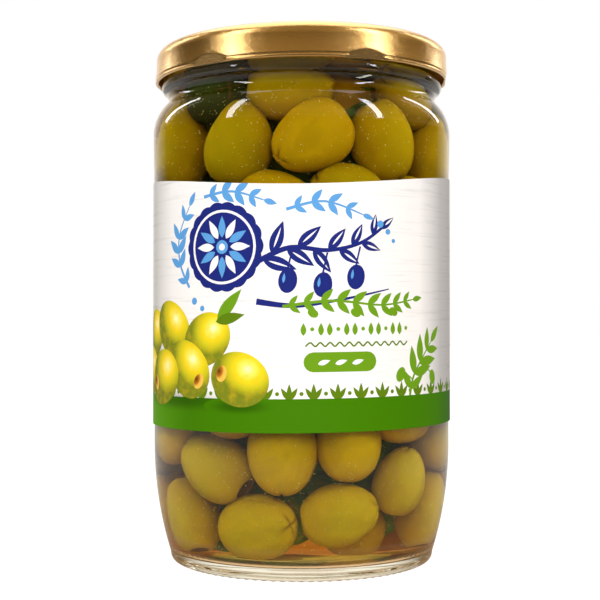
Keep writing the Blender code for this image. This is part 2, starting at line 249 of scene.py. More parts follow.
@dataclass(frozen=True)
class Nodes:
    """A node tree, with a short way to add each kind of node that comes more than once."""

    tree: bpy.types.NodeTree

    def add(self, kind: str, settings: dict | None = None, inputs: dict | None = None) -> bpy.types.Node:
        """Add a node of any kind."""
        return add_node(self.tree, kind, settings, inputs)

    def place(self) -> Socket:
        """The place on the object, in metres."""
        return self.add("ShaderNodeTexCoord").outputs["Object"]

    def uv(self, name: str) -> Socket:
        """The place in a UV map."""
        return self.add("ShaderNodeUVMap", {"uv_map": name}).outputs[0]

    def ray(self, kind: str) -> Socket:
        """1 for rays of a kind, such as "Camera", and 0 for others."""
        return self.add("ShaderNodeLightPath").outputs[f"Is {kind} Ray"]

    def scaled(self, place: Socket, scale: tuple[float, float, float]) -> Socket:
        """A place scaled along its axes, which stretches the pattern laid on it."""
        return self.add("ShaderNodeMapping", inputs={"Vector": place, "Scale": scale}).outputs[0]

    def noise(self, place: Socket, grain: float, detail: float = 2.0, roughness: float = 0.5) -> Socket:
        """Noise whose grain has a size in the unit of the place."""
        inputs = {"Vector": place, "Scale": 1 / grain, "Detail": detail, "Roughness": roughness}
        return self.add("ShaderNodeTexNoise", inputs=inputs).outputs["Fac"]

    def bump(self, height: Socket, depth_mm: float, strength: float = 1.0) -> Socket:
        """Normals that lean as a pattern's height says."""
        inputs = {"Height": height, "Strength": strength, "Distance": depth_mm * MM}
        return self.add("ShaderNodeBump", inputs=inputs).outputs[0]

    def maths(self, operation: str, *values: Socket | float, clamp: bool = False) -> Socket:
        """A sum, product or the like."""
        settings = {"operation": operation, "use_clamp": clamp}
        return self.add("ShaderNodeMath", settings, dict(enumerate(values))).outputs[0]

    def measure(self, operation: str, *vectors: Socket | tuple) -> Socket:
        """The number that a vector operation gives, such as a length."""
        inputs = dict(enumerate(vectors))
        return self.add("ShaderNodeVectorMath", {"operation": operation}, inputs).outputs["Value"]

    def times(self, colour: Socket, factor: Socket) -> Socket:
        """A colour made lighter or darker by a factor."""
        settings, inputs = {"operation": "SCALE"}, {0: colour, "Scale": factor}
        return self.add("ShaderNodeVectorMath", settings, inputs).outputs[0]

    def span(
        self,
        value: Socket,
        low: float,
        high: float,
        start: float = 0.0,
        end: float = 1.0,
        kind: str = "LINEAR",
    ) -> Socket:
        """Stretch a value from low and high to start and end, and hold it there."""
        inputs = {0: value, 1: low, 2: high, 3: start, 4: end}
        return self.add("ShaderNodeMapRange", {"interpolation_type": kind}, inputs).outputs[0]

    def mix(
        self, share: Socket | float, first: Socket | tuple, second: Socket | tuple, blend: str = "MIX"
    ) -> Socket:
        """Two colours mixed."""
        settings = {"data_type": "RGBA", "blend_type": blend}
        return self.add("ShaderNodeMix", settings, {0: share, 6: first, 7: second}).outputs[2]

    def ramp(self, value: Socket, stops: Stops) -> Socket:
        """The colour that a row of stops has at a value."""
        return add_node(self.tree, "ShaderNodeValToRGB", inputs={0: value}, stops=stops).outputs[0]

    def principled(self, inputs: dict) -> Socket:
        """The standard shader."""
        return self.add("ShaderNodeBsdfPrincipled", inputs=inputs).outputs[0]

    def lit_through(self, shader: Socket, tint: str) -> Socket:
        """Let lamps shine straight through a clear shader, taking on a tint at each side they pass."""
        clear = self.add("ShaderNodeBsdfTransparent", inputs={"Color": linear(tint)})
        inputs = {0: self.ray("Shadow"), 1: shader, 2: clear.outputs[0]}
        return self.add("ShaderNodeMixShader", inputs=inputs).outputs[0]


@dataclass(frozen=True)
class Finish:
    """What every finish has: a name and a way to build its material."""

    name: str

    def sockets(self, nodes: Nodes) -> dict[str, Socket]:
        """What goes into the material's output, which each finish says for itself."""
        raise NotImplementedError

    def build(self) -> bpy.types.Material:
        """Make the material."""
        material = bpy.data.materials.new(self.name)
        material.use_nodes = True
        tree = material.node_tree
        tree.nodes.clear()
        add_node(tree, "ShaderNodeOutputMaterial", inputs=self.sockets(Nodes(tree)))
        return material


@dataclass(frozen=True)
class FlintGlass(Finish):
    """Soda-lime container glass, blown in a mould: clear, with a slow ripple that bends highlights."""

    name: str = "soda_lime_glass"
    tint: str = "#F7F9EE"
    ior: float = 1.52
    mirror: float = 1.0  # share of the reflection against air that is left
    ripple_mm: float = 14.0
    ripple_tall: float = 0.3  # scale along the jar, so the ripple runs up and down
    ripple_depth_mm: float = 0.02

    def sockets(self, nodes: Nodes) -> dict[str, Socket]:
        """Clear glass with rippled normals."""
        tall = nodes.scaled(nodes.place(), (1.0, 1.0, self.ripple_tall))
        ripple = nodes.noise(tall, self.ripple_mm * MM, 1.0)
        glass = nodes.principled(
            {
                "Base Color": linear(self.tint),
                "Roughness": 0.0,
                "IOR": self.ior,
                "Transmission Weight": 1.0,
                "Specular Tint": (self.mirror, self.mirror, self.mirror, 1.0),
                "Normal": nodes.bump(ripple, self.ripple_depth_mm),
            }
        )
        return {"Surface": nodes.lit_through(glass, self.tint)}


@dataclass(frozen=True)
class Brine(Finish):
    """Salt water that the olives have stained amber: it bends light and takes out blue, then green."""

    name: str = "olive_brine"
    ior: float = 1.345
    stain: tuple[float, float, float] = (0.914, 0.743, 0.0)  # light that is left over one unit of depth
    density: float = 70.0  # units to the metre

    def sockets(self, nodes: Nodes) -> dict[str, Socket]:
        """A refracting surface round an absorbing volume."""
        inputs = {"Color": (1.0, 1.0, 1.0, 1.0), "Roughness": 0.0, "IOR": self.ior}
        water = nodes.add("ShaderNodeBsdfRefraction", inputs=inputs)
        inputs = {"Color": (*self.stain, 1.0), "Density": self.density}
        depth = nodes.add("ShaderNodeVolumeAbsorption", inputs=inputs)
        return {"Surface": nodes.lit_through(water.outputs[0], "#FFFFFF"), "Volume": depth.outputs[0]}


@dataclass(frozen=True)
class OliveSkin(Finish):
    """Cured green olive: smooth moist skin, from olive green to yellow, with fine dark pores."""

    name: str = "cured_olive_skin"
    tones: Stops = (
        # painted shade: the darkest tone, which the olives up under the neck get
        (0.0, "#2C3A0C"),
        (0.1, "#4B8820"),
        (0.22, "#9C8A06"),
        (0.55, "#AC9006"),
        (0.9, "#BC9606"),
    )
    stem: str = "#6B4A20"
    mottle_mm: float = 5.0
    mottle_tone: float = 0.36  # how far the mottling drifts along the tones
    pore_mm: float = 1.5  # from one pore to the next
    pore_share: float = 0.18
    ior: float = 1.06  # 1.43 in air, but these lie in brine
    glow: float = 0.5
    glow_mm: float = 4.0

    def sockets(self, nodes: Nodes) -> dict[str, Socket]:
        """Skin of the olive's own tone, mottled, pored and stained, over glowing flesh; its marks also carry
        painted shade and painted light.
        """
        marks = nodes.add("ShaderNodeAttribute", {"attribute_name": "olive"}).outputs["Color"]
        # the third mark, pale, is painted light: it brightens the lowest olives
        tone, stain, pale = nodes.add("ShaderNodeSeparateColor", inputs={0: marks}).outputs
        mottle = nodes.noise(nodes.place(), self.mottle_mm * MM, 3.0)
        drift = nodes.maths("MULTIPLY_ADD", mottle, self.mottle_tone, -self.mottle_tone / 2)
        colour = nodes.ramp(nodes.maths("ADD", tone, drift), self.tones)
        inputs = {"Vector": nodes.place(), "Scale": 1 / (self.pore_mm * MM)}
        pores = nodes.add("ShaderNodeTexVoronoi", inputs=inputs).outputs["Distance"]
        speck = nodes.span(pores, 0.06, 0.16, self.pore_share, 0.0)
        painted_light_colour = nodes.times(nodes.mix(speck, colour, linear(self.stem)), pale)
        skin = nodes.principled(
            {
                "Base Color": nodes.mix(stain, painted_light_colour, linear(self.stem)),
                "Roughness": 0.4,
                "IOR": self.ior,
                "Subsurface Weight": self.glow,
                "Subsurface Radius": (1.0, 0.7, 0.12),
                "Subsurface Scale": self.glow_mm * MM,
                "Normal": nodes.bump(mottle, 0.3, 0.5),
            }
        )
        return {"Surface": skin}


@dataclass(frozen=True)
class GoldLacquer(Finish):
    """Tinplate under gold lacquer: satin metal whose fine orange-peel grain breaks up reflections."""

    name: str = "gold_lacquered_tinplate"
    colour: str = "#E6BC78"
    roughness: float = 0.23
    grain_mm: float = 0.33
    grain_depth_mm: float = 0.055

    def sockets(self, nodes: Nodes) -> dict[str, Socket]:
        """Metal with a thin coat and grained normals."""
        grain = nodes.noise(nodes.place(), self.grain_mm * MM)
        metal = nodes.principled(
            {
                "Base Color": linear(self.colour),
                "Metallic": 1.0,
                "Roughness": self.roughness,
                "Coat Weight": 0.25,
                "Coat Roughness": 0.18,
                "Normal": nodes.bump(grain, self.grain_depth_mm),
            }
        )
        return {"Surface": metal}


@dataclass(frozen=True)
class Pulp(Finish):
    """Crumbs of olive flesh: pale, matt, and too small to show more than a dot of light."""

    name: str = "olive_pulp"
    colour: str = "#E8DF8C"

    def sockets(self, nodes: Nodes) -> dict[str, Socket]:
        """One plain colour."""
        inputs = {"Base Color": linear(self.colour), "Roughness": 0.6, "IOR": 1.06}
        return {"Surface": nodes.principled(inputs)}


class Ink(Enum):
    """What is printed on a patch of the label; the value is its material slot."""

    PLANKS = 0
    BAND = 1
    NAVY = 2
    SKY = 3
    LEAF = 4
    MOSS = 5
    OLIVE = 6
    PIT = 7
    BACK = 8


@dataclass(frozen=True)
class PrintedPaper(Finish):
    """Coated label paper with offset print: nearly matt, one flat ink or a printed picture."""

    name: str = "label_paper"
    ink: Ink = Ink.PLANKS
    colour: str = "#E1E1E1"
    deep: str = "#C7C6C8"
    roughness: float = 0.55
    plank_mm: float = 10.5
    grain_mm: float = 1.1
    shade: float = 0.5
    # painted shade: how the boards darken towards the jar's sides, over 160 mm
    boards: Stops = (
        (0.10, "#FFFFFF"),
        (0.155, "#D8D8D8"),
        (0.24, "#FFFFFF"),
        (0.725, "#FFFFFF"),
        (0.80, "#C8C8CA"),
        (0.86, "#C0C0C2"),
        (0.93, "#FFFFFF"),
    )

    def sockets(self, nodes: Nodes) -> dict[str, Socket]:
        """Paper in the ink's flat colour or its picture."""
        painter = {Ink.PLANKS: self.planks, Ink.BAND: self.band, Ink.OLIVE: self.olive, Ink.PIT: self.pit}
        colour = painter[self.ink](nodes) if self.ink in painter else linear(self.colour)
        inputs = {"Base Color": colour, "Roughness": self.roughness, "Specular IOR Level": 0.04}
        return {"Surface": nodes.principled(inputs)}

    def soft_shadow(self, nodes: Nodes, colour: Socket, dark: str) -> Socket:
        """Darken a colour inside the printed shadow that the second UV map holds, as a round fade.

        Args:
            nodes: The material's nodes.
            colour: The colour to darken.
            dark: What it is multiplied by at the shadow's middle.

        Returns:
            The darkened colour.
        """
        away = nodes.measure("LENGTH", nodes.uv("shape"))
        fade = nodes.span(away, 0.15, 1.0, self.shade, 0.0, "SMOOTHSTEP")
        return nodes.mix(fade, colour, linear(dark), "MULTIPLY")

    def planks(self, nodes: Nodes) -> Socket:
        """White-washed boards lying level: thin seams and long grey grain, both worn in places, and painted
        shade towards the jar's sides.
        """
        flat = nodes.uv("sheet")
        along, up, _ = nodes.add("ShaderNodeSeparateXYZ", inputs={0: flat}).outputs
        grain = nodes.noise(nodes.scaled(flat, (0.045, 1.0, 1.0)), self.grain_mm, 4.0, 0.65)
        streak = nodes.span(grain, 0.54, 0.78)
        across = nodes.maths("FRACT", nodes.maths("DIVIDE", up, self.plank_mm))
        worn = nodes.noise(nodes.scaled(flat, (0.05, 0.3, 1.0)), 1.0)
        seam = nodes.maths("MULTIPLY", nodes.span(across, 0.0, 0.035, 0.75, 0.0), worn)
        grey = nodes.maths("MAXIMUM", streak, seam, clamp=True)
        washed = nodes.mix(grey, linear(self.colour), linear(self.deep))
        # painted shade: the boards darken towards the jar's sides
        sides = nodes.ramp(nodes.span(along, -80.0, 80.0), self.boards)
        return self.soft_shadow(nodes, nodes.mix(1.0, washed, sides, "MULTIPLY"), "#6E675C")

    def band(self, nodes: Nodes) -> Socket:
        """Green field that is lighter towards its left end and darker at its right, where the darkening is
        painted shade of the jar's side.
        """
        along = nodes.add("ShaderNodeSeparateXYZ", inputs={0: nodes.uv("sheet")}).outputs[0]
        stops = ((0.0, "#5CA000"), (0.22, self.colour), (0.86, self.colour), (1.0, self.deep))
        return self.soft_shadow(nodes, nodes.ramp(nodes.span(along, -62.0, 62.0), stops), "#1E4A10")

    def olive(self, nodes: Nodes) -> Socket:
        """A pictured olive, shaded as a ball from its local coordinates: lit from the upper right."""
        towards = nodes.measure("DISTANCE", nodes.uv("shape"), (0.32, 0.38, 0.0))
        light = ((0.0, "#FBEFC0"), (0.2, "#F3DC62"), (0.42, "#E0C81E"))
        ball = nodes.ramp(towards, (*light, (0.68, self.colour), (0.98, self.deep)))
        patch = nodes.span(nodes.noise(nodes.uv("sheet"), 1 / 0.45), 0.45, 0.75, 0.0, 0.35)
        return nodes.mix(patch, ball, linear("#D9B01C"))

    def pit(self, nodes: Nodes) -> Socket:
        """The dark mouth of a pictured olive's pit hole, paler on its lower right wall."""
        towards = nodes.measure("DISTANCE", nodes.uv("shape"), (-0.5, 0.35, 0.0))
        return nodes.ramp(towards, ((0.0, self.deep), (0.6, self.colour), (1.0, "#E2B24A")))


@dataclass(frozen=True)
class WhitePaint(Finish):
    """Matt white studio floor: plain white to the camera, and to the glass beige near the jar, a painted
    shadow with painted amber light where light falls through the brine, a painted pool of light right
    under the jar, and dim towards the camera, so that few reflections veil the olives."""

    name: str = "studio_white"
    colour: str = "#F4F3F1"
    # painted shadow and painted amber light on the floor near the jar
    near_jar_painted_light_and_shade: str = "#C9A480"
    dull: str = "#4A4640"
    near_m: tuple[float, float] = (0.03, 0.20)
    slope: tuple[float, float, float] = (-0.35, 1.0, 0.0)  # the way that it grows brighter
    fall_m: tuple[float, float] = (-0.31, -0.07)
    dim: float = 0.12
    through: float = 0.5  # least strength of what is seen through the glass
    warm: float = 0.7  # how much of the beige stays far away, seen through the glass
    painted_pool_m: tuple[float, float] = (0.029, 0.036)
    glow: float = 1.6  # painted light: strength of the pool of light under the jar
    veil: float = 0.6  # what a mirror image keeps of it, so that the belly shows the olives behind

    def sockets(self, nodes: Nodes) -> dict[str, Socket]:
        """Dull paint that shines by itself, in the colour and strength that each kind of ray gets."""
        place, through, direct = nodes.place(), nodes.ray("Transmission"), nodes.ray("Camera")
        away = nodes.measure("LENGTH", place)
        far = nodes.maths(
            "MULTIPLY", nodes.span(away, *self.near_m), nodes.span(through, 0.0, 1.0, 1.0, 1.0 - self.warm)
        )
        # painted shadow and amber light: beige near the jar, fading to white further off
        tint = nodes.mix(far, linear(self.near_jar_painted_light_and_shade), linear(self.colour))
        fall = nodes.span(nodes.measure("DOT_PRODUCT", place, self.slope), *self.fall_m, self.dim, 1.0)
        seen = nodes.maths("MAXIMUM", fall, nodes.maths("MULTIPLY_ADD", through, self.through, direct))
        # painted pool of light: a stronger glow right under the jar
        lit = nodes.maths("MULTIPLY", seen, nodes.span(away, *self.painted_pool_m, self.glow, 1.0))
        mirrored = nodes.maths("SUBTRACT", nodes.ray("Glossy"), through, clamp=True)
        veiled = nodes.maths("MULTIPLY", lit, nodes.span(mirrored, 0.0, 1.0, 1.0, self.veil))
        paint = nodes.principled(
            {
                "Base Color": linear(self.dull),
                "Roughness": 0.9,
                "Specular IOR Level": 0.1,
                "Emission Color": nodes.mix(direct, tint, (1.0, 1.0, 1.0, 1.0)),
                "Emission Strength": veiled,
            }
        )
        return {"Surface": paint}


@dataclass
class GlassJar:
    """The moulded jar: straight side with a label panel, round shoulder, waist, bead and finish."""

    body_r: float = 43.45
    wall: float = 2.4
    foot_out_r: float = 36.4
    foot_in_r: float = 34.0
    heel_r: float = 38.29
    heel_z: float = 2.8
    belly_arc: float = 97.0
    belly_z: float = 34.0
    push_up: float = 2.9
    low_side_r: float = 43.0  # outside, just under the label
    low_arc: float = 105.7
    label_r: float = 43.2  # where the label is wrapped
    label_blend: float = 5.0
    label_low_z: float = 40.0
    label_high_z: float = 105.0
    shoulder_arc: float = 12.6
    shoulder_z: float = 122.9
    shoulder_sweep: float = 45.0
    waist_r: float = 39.1
    waist_z: float = 133.6
    bead_r: float = 41.0
    bead_z: float = 137.3
    finish_r: float = 39.4
    finish_low_z: float = 139.0
    rim_z: float = 147.9
    bore_r: float = 36.6
    floor_z: float = 3.9
    floor_dome: float = 2.0
    inner_heel_arc: float = 4.6
    inner_heel_r: float = 33.3
    wetted_z: float = 9.0  # the floor below it mirrors as bare glass does
    columns: int = 360
    knurls: int = 90
    knurl_depth: float = 0.22

    def belly_radius(self, z: float) -> float:
        """Outer radius at a height between the heel and the shoulder."""
        drop = max(self.belly_z - z, 0.0)
        return self.body_r - self.belly_arc + math.sqrt(self.belly_arc**2 - drop**2)

    def floor_at(self, r: float) -> float:
        """Height of the inside floor at a distance from the axis: domed over the push-up."""
        part = min(r / self.inner_heel_r, 1.0)
        return self.floor_z + self.floor_dome * (0.5 + 0.5 * math.cos(math.pi * part))

    def side_radius(self, z: float) -> float:
        """Outer radius from the foot's heel to the shoulder, drawn in a hair's breadth behind the label."""
        drop = max(self.belly_z - z, 0.0)
        low_r = self.low_side_r - self.low_arc + math.sqrt(self.low_arc**2 - drop**2)
        from_r, to_r, start_z, rise = low_r, self.label_r, self.label_low_z, self.label_blend
        if z > self.label_high_z:
            from_r, to_r, start_z = self.label_r, self.body_r, self.label_high_z
            rise = self.shoulder_z - start_z
        part = min(max((z - start_z) / rise, 0.0), 1.0)
        return from_r + (to_r - from_r) * part * part * (3 - 2 * part)

    def inner_profile(self, fine: int = 1) -> Profile:
        """The inside from the middle of the floor, out and up to the neck.

        Args:
            fine: How many times more points the arcs get than in the CAD solid.

        Returns:
            The profile's points.
        """
        floor = [(0.0, self.floor_z + self.floor_dome), (18.0, self.floor_z + self.floor_dome * 0.62)]
        if fine > 1:
            floor = [(r, self.floor_at(r)) for r in np.linspace(0.0, self.inner_heel_r - 1.0, 30)]
        heel_z = self.floor_z + self.inner_heel_arc
        corner = arc(self.inner_heel_r, heel_z, self.inner_heel_arc, -90, -10, 4 * fine)
        belly = [(self.belly_radius(z) - self.wall, z) for z in (17.0, 25.0, self.belly_z)]
        if fine > 1:
            first = corner[-1][1] + 1.5
            heights = np.linspace(first, self.belly_z, 9 * fine)
            belly = [(self.belly_radius(z) - self.wall, z) for z in heights]
        centre_r, radius = self.body_r - self.shoulder_arc, self.shoulder_arc - self.wall
        shoulder = arc(centre_r, self.shoulder_z, radius, 0, self.shoulder_sweep, 4 * fine)
        return floor + corner + belly + shoulder + [(self.bore_r, self.waist_z - 0.5)]

    def outer_profile(self) -> Profile:
        """The outside from the rim's inner edge, over it and down to the middle of the base."""
        mid, half = (self.finish_r + self.bore_r) / 2, (self.finish_r - self.bore_r) / 2
        rim = [
            (mid - half * math.cos(math.radians(a)), self.rim_z - 0.9 * (1 - math.sin(math.radians(a))))
            for a in range(0, 181, 15)
        ]
        finish = [(0.0, 0.6), (0.15, 0.1)]
        bead = [(-0.1, 0.6), (0.0, -0.4), (-0.35, -1.4), (-1.3, -2.2)]
        waist = [(0.15, 0.5), (0.0, -0.3), (0.25, -1.1)]
        neck = smooth_line(
            [
                *((self.finish_r + r, self.finish_low_z + z) for r, z in finish),
                (self.bead_r - 0.7, self.finish_low_z - 0.4),
                *((self.bead_r + r, self.bead_z + z) for r, z in bead),
                *((self.waist_r + r, self.waist_z + z) for r, z in waist),
            ],
            5,
        )
        centre_r = self.body_r - self.shoulder_arc
        shoulder = arc(centre_r, self.shoulder_z, self.shoulder_arc, self.shoulder_sweep, 0, 24)
        heights = [
            *np.linspace(self.shoulder_z - 0.5, self.label_high_z, 18),
            *np.linspace(self.label_low_z + self.label_blend, self.label_low_z, 6),
            *np.linspace(self.belly_z, self.heel_z, 26),
        ]
        side = [(self.side_radius(z), z) for z in heights]
        heel_steps = ((0.0, 1.0), (0.2, 0.55), (0.8, 0.2))
        round_in = [(self.heel_r - inward, self.heel_z * share) for inward, share in heel_steps]
        heel = smooth_line([*round_in, (self.foot_out_r, 0.0)], 4)
        hollow = [(self.foot_in_r, 0.0), (33.0, 0.6), (28.0, 1.8), (15.0, 2.6), (0.0, self.push_up)]
        base = smooth_line(hollow, 4)
        foot = [(self.foot_out_r - (self.foot_out_r - self.foot_in_r) * i / 6, 0.0) for i in range(1, 6)]
        return rim + neck + shoulder + side + heel[1:] + foot + base

    def room(self, z: np.ndarray | float) -> np.ndarray:
        """Largest distance from the axis that an olive may reach at some heights, clear of the glass."""
        profile = [*self.inner_profile()[2:], (self.bore_r, self.rim_z)]
        return np.interp(z, [p[1] for p in profile], [p[0] for p in profile]) - GAP

    def build(self, glass: bpy.types.Material, wetted: bpy.types.Material) -> bpy.types.Object:
        """Make the jar, with the small knurls under its foot that keep it steady on a conveyor.

        Args:
            glass: The outside's material.
            wetted: The material of the inside, which brine wets.

        Returns:
            The piece.
        """
        inside = self.inner_profile(fine=5)
        verts, faces = turn(inside + self.outer_profile(), self.columns)
        rho, angle = round_the_axis(verts)
        ring = (rho > self.foot_in_r + 0.2) & (rho < self.foot_out_r + 0.8) & (verts[:, 2] < 0.5)
        verts[:, 2] += np.where(ring, self.knurl_depth * (0.5 + 0.5 * np.cos(self.knurls * angle)), 0.0)
        body = make_object("glass_body", verts, faces, [glass, wetted])
        heights = np.repeat([z for _, z in inside[:-1]], self.columns)
        wet = np.zeros(len(faces), int)
        wet[: len(heights)] = heights > self.wetted_z
        body.data.polygons.foreach_set("material_index", wet.tolist())
        return body


@dataclass
class Liquid:
    """Brine that fills the jar round the olives, up into the neck behind the lid."""

    jar: GlassJar
    level_z: float = 143.2
    into_wall: float = 0.12

    def build(self, brine: bpy.types.Material) -> bpy.types.Object:
        """Make the brine, which reaches just into the wall so that no air gap shows."""
        inside = np.array(self.jar.inner_profile(fine=5))
        along = np.gradient(inside, axis=0)
        into = np.stack([along[:, 1], -along[:, 0]], axis=1) / np.hypot(along[:, 0], along[:, 1])[:, None]
        low = [(max(r, 0.0), z) for r, z in inside + into * self.into_wall]
        neck = self.jar.bore_r + self.into_wall
        surface = [(neck, self.level_z), (neck - 0.8, self.level_z - 0.5), (0.0, self.level_z - 0.5)]
        profile = (low + surface)[::-1]
        verts, faces = turn(profile, self.jar.columns // 2)
        return make_object("brine", verts, faces, [brine])


@dataclass
class OliveHeap:
    """All the olives, where the CAD heap has them, over a core deep inside; the core and the deep ones are
    darker as painted shade.
    """

    jar: GlassJar
    long: float = 21.6
    wide: float = 17.0
    taper: float = 0.11
    high_z: float = 141.0
    seed: int = 7
    wall_layers: int = 8
    wall_per_layer: int = 10
    inner_layers: int = 8
    inner_per_layer: int = 4
    wall_rho: float = 32.0
    inner_rho: float = 13.0
    clear: float = 13.5  # drawn places keep this far from the ones shown in front
    rounds: int = 400
    hold: float = 0.2  # pull of those shown in front back to their places
    drift: float = 0.06  # push of the outer ones to the glass
    stem_share: float = 0.74  # the end balls' radii, against the middle ball's
    nose_share: float = 0.62
    sides: int = 28
    pit_r: float = 2.5
    pit_depth: float = 7.0
    core_r: float = 21.0
    # painted shade: the deep ones and the core get this darker green tone
    deep_painted_shade_tone: float = 0.1
    neck_painted_shade_tone: float = -0.2  # painted shade: those up under the neck, in the lid's shade, are dark
    neck_z: float = 124.0
    low_painted_light: float = 1.32  # painted light: the lowest ones are brightened this much
    low_z: float = 55.0
    # bearing, distance from the axis, height, lean to the right of upright, size, how far the nose tips
    # towards the glass, and how yellow it is
    front: tuple = (
        (-68.9, 32, 117.5, 4, 1.06, 0.0, 0.45),
        (-29.3, 32, 117.0, 14, 1.06, 0.0, 0.40),
        (3.9, 32, 118.8, 235, 1.05, 0.3, 0.85),
        (39.5, 32, 117.2, 163, 1.02, 0.15, 0.60),
        (73.9, 32, 116.8, 5, 1.00, 0.0, 0.50),
        (-4.0, 22, 131.5, 90, 1.08, 0.0, 0.55),
        (34.0, 24, 131.5, 95, 1.08, 0.0, 0.60),
        # painted shade: this one lies up under the neck and gets a dark tone
        (-44.0, 18, 131.0, 0, 0.95, 0.0, -0.20),
        (60.0, 26, 131.5, -60, 0.98, 0.0, 0.45),
        (-10.3, 32, 101.3, 96, 1.00, 0.0, 0.70),
        (20.5, 32, 103.4, -58, 1.02, 0.0, 0.45),
        (55.0, 32, 100.5, 110, 1.00, 0.0, 0.50),
        (-42.8, 32, 29.8, -58, 1.02, 0.15, 0.38),
        (-8.2, 32, 33.7, 180, 1.04, 0.0, 0.58),
        (21.0, 32, 36.8, -2, 1.00, 0.15, 0.62),
        (49.0, 32, 25.6, 4, 0.89, 0.25, 0.36),
        (-20.8, 31, 14.2, 82, 1.04, 0.35, 0.34),
        (18.0, 31, 17.6, 80, 0.97, 0.4, 0.34),
        (-63.5, 31, 15.5, -24, 1.00, 0.0, 0.33),
        (-70.0, 32, 38.5, 40, 1.00, 0.0, 0.60),
        (-31.0, 32, 46.2, 84, 1.00, 0.0, 0.70),
        (50.0, 32, 43.6, 100, 0.96, 0.0, 0.75),
        (44.0, 24, 12.0, 120, 0.94, -0.6, 0.28),
        (76.0, 31, 16.5, 12, 1.00, 0.0, 0.35),
        (82.0, 32, 37.5, -8, 1.02, 0.0, 0.40),
    )

    def floor_under(self, rho: np.ndarray) -> np.ndarray:
        """Lowest height that an olive may reach at some distances from the axis."""
        dome = self.jar.floor_dome * np.clip(1.5 * (1 - rho / self.jar.inner_heel_r), 0.0, 1.0)
        return self.jar.floor_z + dome + GAP

    @staticmethod
    def lean_axis(bearing: float, lean: float, tip: float) -> Vector:
        """Way of a long axis that leans by degrees to the right of upright, and tips towards the glass."""
        up, across = way(lean)
        aim = Vector((0, 0, 1)) * up + spot(bearing + 90, 1, 0) * across + spot(bearing, 1, 0) * tip
        return aim.normalized()

    def starts(self) -> list[tuple[Vector, Vector, float, bool]]:
        """Rough first places: position, long axis, size and whether it shows in front."""
        draw = random.Random(self.seed)
        starts = []
        for bearing, rho, height, lean, size, tip, _ in self.front:
            starts.append((spot(bearing, rho, height), self.lean_axis(bearing, lean, tip), size, True))
        layers = [
            (self.wall_layers, self.wall_per_layer, self.wall_rho),
            (self.inner_layers, self.inner_per_layer, self.inner_rho),
        ]
        for count, around, rho in layers:
            for layer in range(count):
                height = 15 + layer * (self.high_z - 24) / (count - 1)
                turned = draw.uniform(0, 360)
                for i in range(around):
                    bearing = turned + i * 360 / around + draw.uniform(-5, 5)
                    place = spot(bearing, rho, height + draw.uniform(-4, 4))
                    long_axis = self.lean_axis(bearing, draw.uniform(0, 360), draw.uniform(-0.4, 0.4))
                    size = draw.uniform(0.93, 1.07)
                    if all((place - other).length > self.clear for other, _, _, shown in starts if shown):
                        starts.append((place, long_axis, size, False))
        return starts

    def settle(self) -> tuple[np.ndarray, np.ndarray, np.ndarray, np.ndarray]:
        """Push the olives apart and off the glass, each as three balls along its long axis.

        Returns:
            The olives' places, long axes and sizes, and which of them lie deep.
        """
        starts = self.starts()
        place = np.array([tuple(s[0]) for s in starts])
        axis = np.array([tuple(s[1]) for s in starts])
        size = np.array([s[2] for s in starts])
        held = np.array([s[3] for s in starts])
        outer = np.hypot(place[:, 0], place[:, 1]) > self.wall_rho - 2
        first_axis = axis.copy()
        first_z = place[:, 2].copy()
        first_way = place * (1, 1, 0) / np.hypot(place[:, 0], place[:, 1])[:, None]
        half, wide = self.long / 2, self.wide / 2
        nose_r, stem_r = wide * self.nose_share, wide * self.stem_share
        along = np.outer(size, (nose_r - half, 0.0, half - nose_r))
        along[:, 0] = size * (stem_r - half)
        ball = np.outer(size, (stem_r, wide, nose_r))
        own = np.repeat(np.arange(len(starts)), 3)
        apart = own[:, None] != own[None, :]
        radius = ball.ravel()
        reach = radius[:, None] + radius[None, :]
        # how hard one round pushes balls apart, off the wall and down from it, and moves and turns olives
        apart_push, wall_push, down_push, move_share, turn_share = 0.4, 0.45, 0.2, 0.5, 1.6
        for _ in range(self.rounds):
            centres = place[:, None, :] + axis[:, None, :] * along[:, :, None]
            flat = centres.reshape(-1, 3)
            between = flat[:, None, :] - flat[None, :, :]
            distance = np.sqrt((between**2).sum(axis=2)) + 1e-9
            overlap = np.where(apart, np.maximum(reach - distance, 0.0), 0.0)
            push = (between * (overlap / distance)[:, :, None]).sum(axis=1) * apart_push
            rho = np.hypot(flat[:, 0], flat[:, 1]) + 1e-9
            for lift in (-0.9, -0.5, 0.0, 0.5, 0.9):
                slice_r = radius * math.sqrt(1 - lift**2)
                excess = np.maximum(rho + slice_r - self.jar.room(flat[:, 2] + lift * radius), 0.0)
                push[:, :2] -= wall_push * excess[:, None] * flat[:, :2] / rho[:, None]
                push[:, 2] -= down_push * excess * lift
            push[:, 2] += np.maximum(self.floor_under(rho) + radius - flat[:, 2], 0.0)
            push[:, 2] -= np.maximum(flat[:, 2] + radius - self.high_z, 0.0)
            push = push.reshape(-1, 3, 3)
            place += push.sum(axis=1) * move_share
            turned = np.cross(axis[:, None, :] * along[:, :, None], push).sum(axis=1)
            turned = turned / (half * wide) * turn_share
            axis += np.cross(turned, axis)
            rho = np.hypot(place[:, 0], place[:, 1])[:, None]
            outward = place * (1, 1, 0) / (rho + 1e-9)
            place += np.where(outer[:, None], self.drift * outward, 0.0)
            home = first_way * rho
            home[:, 2] = first_z
            place += np.where(held[:, None], self.hold * (home - place), 0.0)
            axis += np.where(held[:, None], self.hold * (first_axis - axis), 0.0)
            axis /= np.sqrt((axis**2).sum(axis=1))[:, None]
        return place, axis, size, ~(outer | held)

